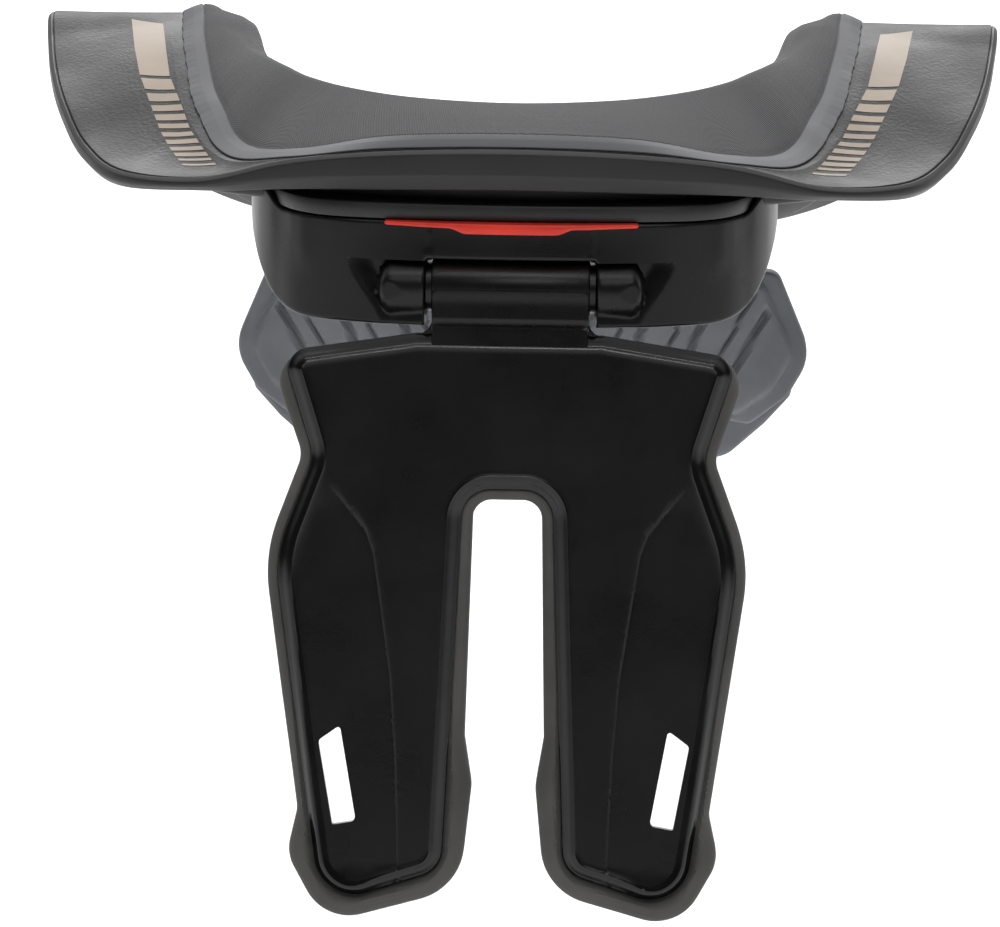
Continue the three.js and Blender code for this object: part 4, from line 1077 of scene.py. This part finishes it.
def crease_points():
    """Close points across the crease, all along it."""
    return np.array([(side * (crease_x(y) + dx), y)
                     for y in np.arange(CREASE["end"], CREASE["start"], CREASE["every"])
                     for side in (-1, 1) for dx in (-0.7, -0.38, -0.15, 0.1, 0.38, 0.8)])


NECK_JOINT = dict(inset=0.3, top=-0.2, below=5.0)
NECK_GROOVE = dict(y=-10.6, deep=1.0, width=0.6)
CORNER_FILLET = dict(out=4.2, up=4.6, rise=5.2, sunk=1.3)


def build_barrel():
    """The hinge barrel with a narrower shoulder in each joint gap."""
    half, r = HINGE["half"], HINGE["radius"]
    end = half + HINGE["gap"] - 0.4
    right = [(half - 0.9, r), (half - 0.26, r - 0.26), (half, r - 0.9), (half, r - 1.5), (end, r - 1.6),
             (end, PIN["radius"] + 0.4)]
    profile = [(-x, radius) for x, radius in reversed(right)] + right
    return tube_x("barrel", profile, [GLOSS], (HINGE["y"], HINGE["z"]))


def build_neck(top_edge):
    """The short neck between barrel and plate, with a groove across it."""
    r, half = HINGE["radius"], HINGE["half"] - NECK_JOINT["inset"]
    top, low = NECK_JOINT["top"], -top_edge - NECK_JOINT["below"]

    def neck_face(x, y, d):
        groove = NECK_GROOVE["deep"] * np.exp(-((y - NECK_GROOVE["y"]) / NECK_GROOVE["width"]) ** 2)
        round_part = np.sqrt(np.clip(r * r - y * y, 0, None))
        return soft_max(round_part, STRUT["face"] - 0.25, 3.0) + 0.03 - groove - quarter(d, 0.4)

    corners = [(-half, top, 0.4), (half, top, 0.4), (half, low, 0.4), (-half, low, 0.4)]
    return slab("neck", [fillet(corners, 3)], 0.8, [0.2, 0.4], neck_face, PLATE_BACK, strut_place, [GLOSS])


def build_neck_fillet(side, top_edge):
    """The curved corner between the neck and the plate's top edge."""
    x0, x1 = (side * (HINGE["half"] + out) for out in (-0.6, CORNER_FILLET["out"]))
    y0 = -top_edge - NECK_JOINT["below"] + CORNER_FILLET["up"]
    y1 = -top_edge + CORNER_FILLET["rise"]
    arc = [(mix(x1, x0, math.sin(t)), mix(y0, y1, 1 - math.cos(t))) for t in np.linspace(0, math.pi / 2, 12)]
    outline = np.array([(x0, y0), *arc][::side])
    return slab("fillet", [outline], 1.0, [0.3], (STRUT["face"] - CORNER_FILLET["sunk"], 0.8),
                PLATE_BACK + 0.4, strut_place, [GLOSS])


def build_strut_plate():
    loops = [fillet(plate_corners(), 14), strap_hole(1), strap_hole(-1)]
    plate = slab("plate", loops, 1.9, [0.3, 0.7, 1.3, 2.0, 2.7, 3.2, 3.6, 4.0, 4.4, 4.9, 5.7], plate_relief,
                 (PLATE_BACK, 0.5), strut_place, [GLOSS, SMOOTH_BLACK], extra=crease_points(),
                 rim_only=True, edge_width=RIM["gloss"])
    top_edge = STRUT_CORNERS[0][1] * STRUT["tall"]
    fillets = [build_neck_fillet(side, top_edge) for side in (-1, 1)]
    thing = join("strut_moulding", [plate, build_barrel(), build_neck(top_edge), *fillets])
    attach(thing, "strut")
    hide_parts("strut_plate")


def pad_corners():
    upper = inset(plate_corners(), -PAD["margin"])
    legs = next(i for i, c in enumerate(STRUT_CORNERS) if c[1] > 0.9)
    top = (upper[0][0], upper[0][1] - 2 * PAD["margin"], plate_corners()[0][2])
    corner = (upper[1][0], upper[1][1] - PAD["margin"], upper[1][2])
    slot = upper[len(STRUT_CORNERS)]
    return both_sides([top, corner, *upper[2:legs], *map(strut_corner, TOE_CORNERS), slot])


FOAM_GROOVES = dict(leg_x=37, drops=(34, 46), deep=0.9)


def build_strut_pad():
    outline = fillet(pad_corners(), 14)
    seat = resample(fillet(inset(plate_corners(), -0.15), 12), 1.5)
    step = np.vstack([shifted(seat, k * 0.35) for k in (-3, -1.5, -0.4, 0, 0.4, 1, 2, 3)])
    rear = PLATE_BACK - GAP
    toe_y = -TOE_CORNERS[-1][1] * STRUT["tall"]

    def rear_face(x, y, d):
        away = -depth_in(x, y, seat)
        toe = smooth(-y, -toe_y - 16, -toe_y + 14)
        swell = mix(0.35, 1.0, toe) * PAD["toe"] * smooth(away, -0.1, mix(0.5, 1.6, toe))
        edge = mix(2.2, 6.5, toe)
        ridge = 0.5 * np.exp(-((d - 4.4) / 1.1) ** 2) * toe
        return rear + swell + ridge - quarter(d, edge) * mix(1.0, 0.75, toe)

    def front_face(x, y, d):
        channel = np.exp(-((np.abs(x) - FOAM_GROOVES["leg_x"]) / 1.3) ** 2) * smooth(-y, 62, 74)
        for drop in FOAM_GROOVES["drops"]:
            channel = channel + np.exp(-((-y - drop - 0.08 * np.abs(x)) / 1.2) ** 2)
        return rear - PAD["thick"] + quarter(d, 4.0) + FOAM_GROOVES["deep"] * channel * smooth(d, 3, 7)

    margin = STRAP["pad_margin"]
    thing = slab("strut_foam", [outline, strap_hole(1, margin), strap_hole(-1, margin)], 2.0,
                 [0.25, 0.6, 1.1, 1.7, 2.4, 3.2, 3.9, 4.6, 5.4, 6.4], rear_face, front_face, strut_place,
                 [STRUT_FOAM], extra=step, rim_only=True)
    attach(thing, "strut")
    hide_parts("strut_pad")


# Chest pieces: drawn flat, leaned forward and folded back round the chest
def chest_outline(corners, amount=0.0, steps=8):
    wide = CHEST["half_width"]
    half = [(x * wide, CHEST["top"] - down * CHEST["height"], r * wide) for x, down, r in corners]
    return fillet(inset(both_sides(half), amount), steps)


def chest_place(x, z, y):
    fold, lean = math.tan(math.radians(CHEST["fold"])), math.tan(math.radians(CHEST["lean"]))
    soft = np.sqrt(x * x + 9.0) - 3.0
    return np.stack([x, y - fold * soft + lean * (CHEST["top"] - z), z], 1)


# Grooves across the chest pad: how far out each one is and how wide
RIBS = [(at, wide) for first in (12.0, 30.0, 48.0, 66.0) for at, wide in ((first + 7.0, 2.6), (first, 1.3))]


def groove_depth(x, z):
    """Grooves in pairs, wide and narrow, that fan out from the middle of the chest."""
    span = CHEST["height"] + 5
    deep = np.zeros_like(x)
    for at, wide in RIBS:
        lean = mix(0.15, 0.62, at / CHEST["half_width"])
        line = at + lean * (z - CHEST["top"] - 5 + 0.45 * span)
        gap = np.abs(np.abs(x) - line) * math.cos(math.atan(lean))
        deep = np.maximum(deep, (1 - smooth(gap, wide * 0.24, wide * 0.62)) * min(2.8, 1.6 * wide))
    return deep


def build_chest():
    near = CHEST["y"]
    pad = chest_outline(CHEST_PAD_CORNERS)
    inner_corners = [(x * PANEL["across"], mix(PANEL["middle"], down, PANEL["up"]), r)
                     for x, down, r in CHEST_PAD_CORNERS]
    panel = resample(chest_outline(inner_corners), 1.5)

    def neck_side(x, z, d):
        gap = depth_in(x, z, panel)
        raised = smooth(gap, -0.2, 1.8)
        groove = groove_depth(x, z) * smooth(gap, 1.6, 4.0)
        return -(near + CHEST["relief"] * (1 - raised) + quarter(d, 1.6) + groove)

    def turned_place(x, z, y):
        return chest_place(x, z, -y)

    ribbed = slab("chest_ribbed_pad", [pad], 1.25, [0.3, 0.7, 1.2, 1.8], neck_side, -(near + CHEST["pad"]),
                  turned_place, [CHEST_FOAM])
    start = near + CHEST["pad"] + GAP
    liner = slab("chest_lower_layer", [chest_outline(CHEST_LINER_CORNERS)], 2.5, [0.3, 0.8, 1.5, 2.4],
                 (-start, 1.6), (-(start + CHEST["liner"]), 1.2), turned_place, [CHEST_FOAM])
    for thing, cad in ((ribbed, "chest_pad"), (liner, "chest_liner")):
        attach(thing, "brace")
        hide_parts(cad)


def build_front_chassis():
    arms = ring_loft("front_arms", ring_places(FRONT_START, LAST, 90), band_section, [CHASSIS])
    start = CHEST["y"] + CHEST["pad"] + CHEST["liner"] + 2 * GAP
    face = start + CHEST["plate"]
    panel = resample(chest_outline(CHEST_PLATE_CORNERS, 11.0), 2.0)

    def plate_face(x, z, d):
        raised = smooth(depth_in(x, z, panel), -0.6, 0.6)
        return face - quarter(d, 1.2) - 0.7 * (1 - raised) * smooth(d, 1.5, 3.0)

    plate = slab("chest_plate", [chest_outline(CHEST_PLATE_CORNERS)], 2.2, [0.3, 0.7, 1.2, 2.0, 3.0],
                 plate_face, start, chest_place, [CHASSIS])
    s = Station(LAST, 1)
    wide, far = YOKE["half_width"], start + CHEST["plate"] / 2
    near = mix(NECK["front"], RING["front"], BAND["inner"])
    top = mix(s.under, s.base, (far - NECK["front"]) / (RING["front"] - NECK["front"])) - YOKE["below"]
    side = far - math.tan(math.radians(CHEST["fold"])) * wide
    corners = [(-wide, near, 3), (wide, near, 3), (wide, side, 0.5), (0, far, 4), (-wide, side, 0.5)]
    yoke = slab("yoke", [fillet(corners, 6)], 2.5, [0.4, 1.0], (top, 0.8), (top - YOKE["thick"], 0.8),
                flat_place, [CHASSIS])
    thing = join("front_chassis_moulding", [arms, plate, yoke])
    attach(thing, "brace")
    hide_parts("front_chassis")


def build_clasps():
    for side, name in ((-1, "left"), (1, "right")):
        us = np.linspace(TABLE["split"] - CLASP["reach"], TABLE["split"] + CLASP["reach"], 24)
        stations = [Station(u, side) for u in us]
        thing = ring_loft("shoulder_clasp_" + name, stations,
                          lambda s: band_section(s, CLASP["inner"], CLASP["outer"],
                                                 2 * CURVED_GAP + BAND["thick"], CLASP["thick"]), [CHASSIS])
        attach(thing, "brace")
        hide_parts("clasp_" + name)


# Stage: camera as the photograph's, pale floor, soft light. The camera's scale is mm a pixel at its target.
CAMERA = dict(azimuth=1.23, elevation=14.0, roll=0.68, distance=1400.0, target=(-2.3, -125.0, -96.0),
              scale=0.2925)
IMAGE_WIDTH = 1000
# The world is dark where Y + rise * Z is low, on the camera's side
WORLD = dict(dark=(0.08, 0.08, 0.083), light=(0.8, 0.8, 0.8), rise=0.9, dark_to=0.48, light_from=0.8)


FLOOR = -0.34
# Lights in metres and watts: name, place, aim, size and power
LIGHTS = [
    ("top_strip", (0, 0.12, 1.5), (0, 0, -0.05), (1.7, 0.14), 11),
    ("left_softbox", (-1.3, 0.1, 0.7), (0, -0.05, -0.1), (0.3, 1.2), 1.5),
    ("right_softbox", (1.4, 0.2, 0.6), (0, -0.05, -0.1), (0.3, 1.2), 2),
    ("front_fill", (0.2, -1.9, 1.3), (0, -0.1, -0.1), (0.9, 0.5), 4),
    ("front_strip", (0, -1, 1.45), (0, -0.1, -0.1), (1.6, 0.07), 5),
    ("floor_wash", (0, 3.2, 2.2), (0, 2.4, FLOOR), (3, 1.6), 130),
]


def build_camera():
    azimuth, elevation, roll = (math.radians(CAMERA[key]) for key in ("azimuth", "elevation", "roll"))
    turn = Matrix.Rotation(azimuth, 4, "Z") @ Matrix.Rotation(math.pi / 2 - elevation, 4, "X")
    data = bpy.data.cameras.new("camera")
    data.sensor_width = 36
    data.lens = CAMERA["distance"] / CAMERA["scale"] * data.sensor_width / IMAGE_WIDTH
    data.clip_start = 0.05
    camera = bpy.data.objects.new("camera", data)
    bpy.context.scene.collection.objects.link(camera)
    place = (Vector(CAMERA["target"]) + turn @ Vector((0, 0, CAMERA["distance"]))) * MM
    camera.matrix_world = Matrix.Translation(place) @ turn @ Matrix.Rotation(roll, 4, "Z")
    bpy.context.scene.camera = camera


def area_light(name, place, aim, size, power):
    data = bpy.data.lights.new(name, "AREA")
    data.shape = "RECTANGLE"
    data.size, data.size_y = size
    data.energy = power
    light = bpy.data.objects.new(name, data)
    bpy.context.scene.collection.objects.link(light)
    light.location = place
    light.rotation_euler = (Vector(aim) - Vector(place)).to_track_quat("-Z", "Y").to_euler()


def build_stage():
    bpy.ops.mesh.primitive_plane_add(size=24, location=(0, 0, FLOOR))
    floor = bpy.context.object
    floor.name = "floor"
    floor.data.materials.append(shader("floor_paint", (0.93, 0.93, 0.93), 0.9)[0])
    for light in LIGHTS:
        area_light(*light)


def build_world():
    """A white room that is dark on the camera's side, as behind a camera in a studio."""
    world = bpy.data.worlds.new("studio")
    bpy.context.scene.world = world
    world.use_nodes = True
    tree = world.node_tree
    way = node(tree, "ShaderNodeTexCoord").outputs["Generated"]
    split = node(tree, "ShaderNodeSeparateXYZ", way)
    height = sums(tree, "MULTIPLY_ADD", split.outputs["Z"], WORLD["rise"], split.outputs["Y"])
    share = sums(tree, "MULTIPLY_ADD", height, 0.5, 0.5)
    color = ramp(tree, share, [(WORLD["dark_to"], WORLD["dark"]), (WORLD["light_from"], WORLD["light"])])
    feed(tree, tree.nodes["Background"].inputs["Color"], color)


rear_table = build_tables()
build_collars()
build_stripes(rear_table)
build_rear_chassis()
build_rear_frame()
build_tab()
build_strut_plate()
build_strut_pad()
build_chest()
build_front_chassis()
build_clasps()
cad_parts["hinge_pin"].data.materials.clear()
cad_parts["hinge_pin"].data.materials.append(STEEL)
build_camera()
build_stage()
build_world()
bpy.context.scene.view_settings.view_transform = "Standard"
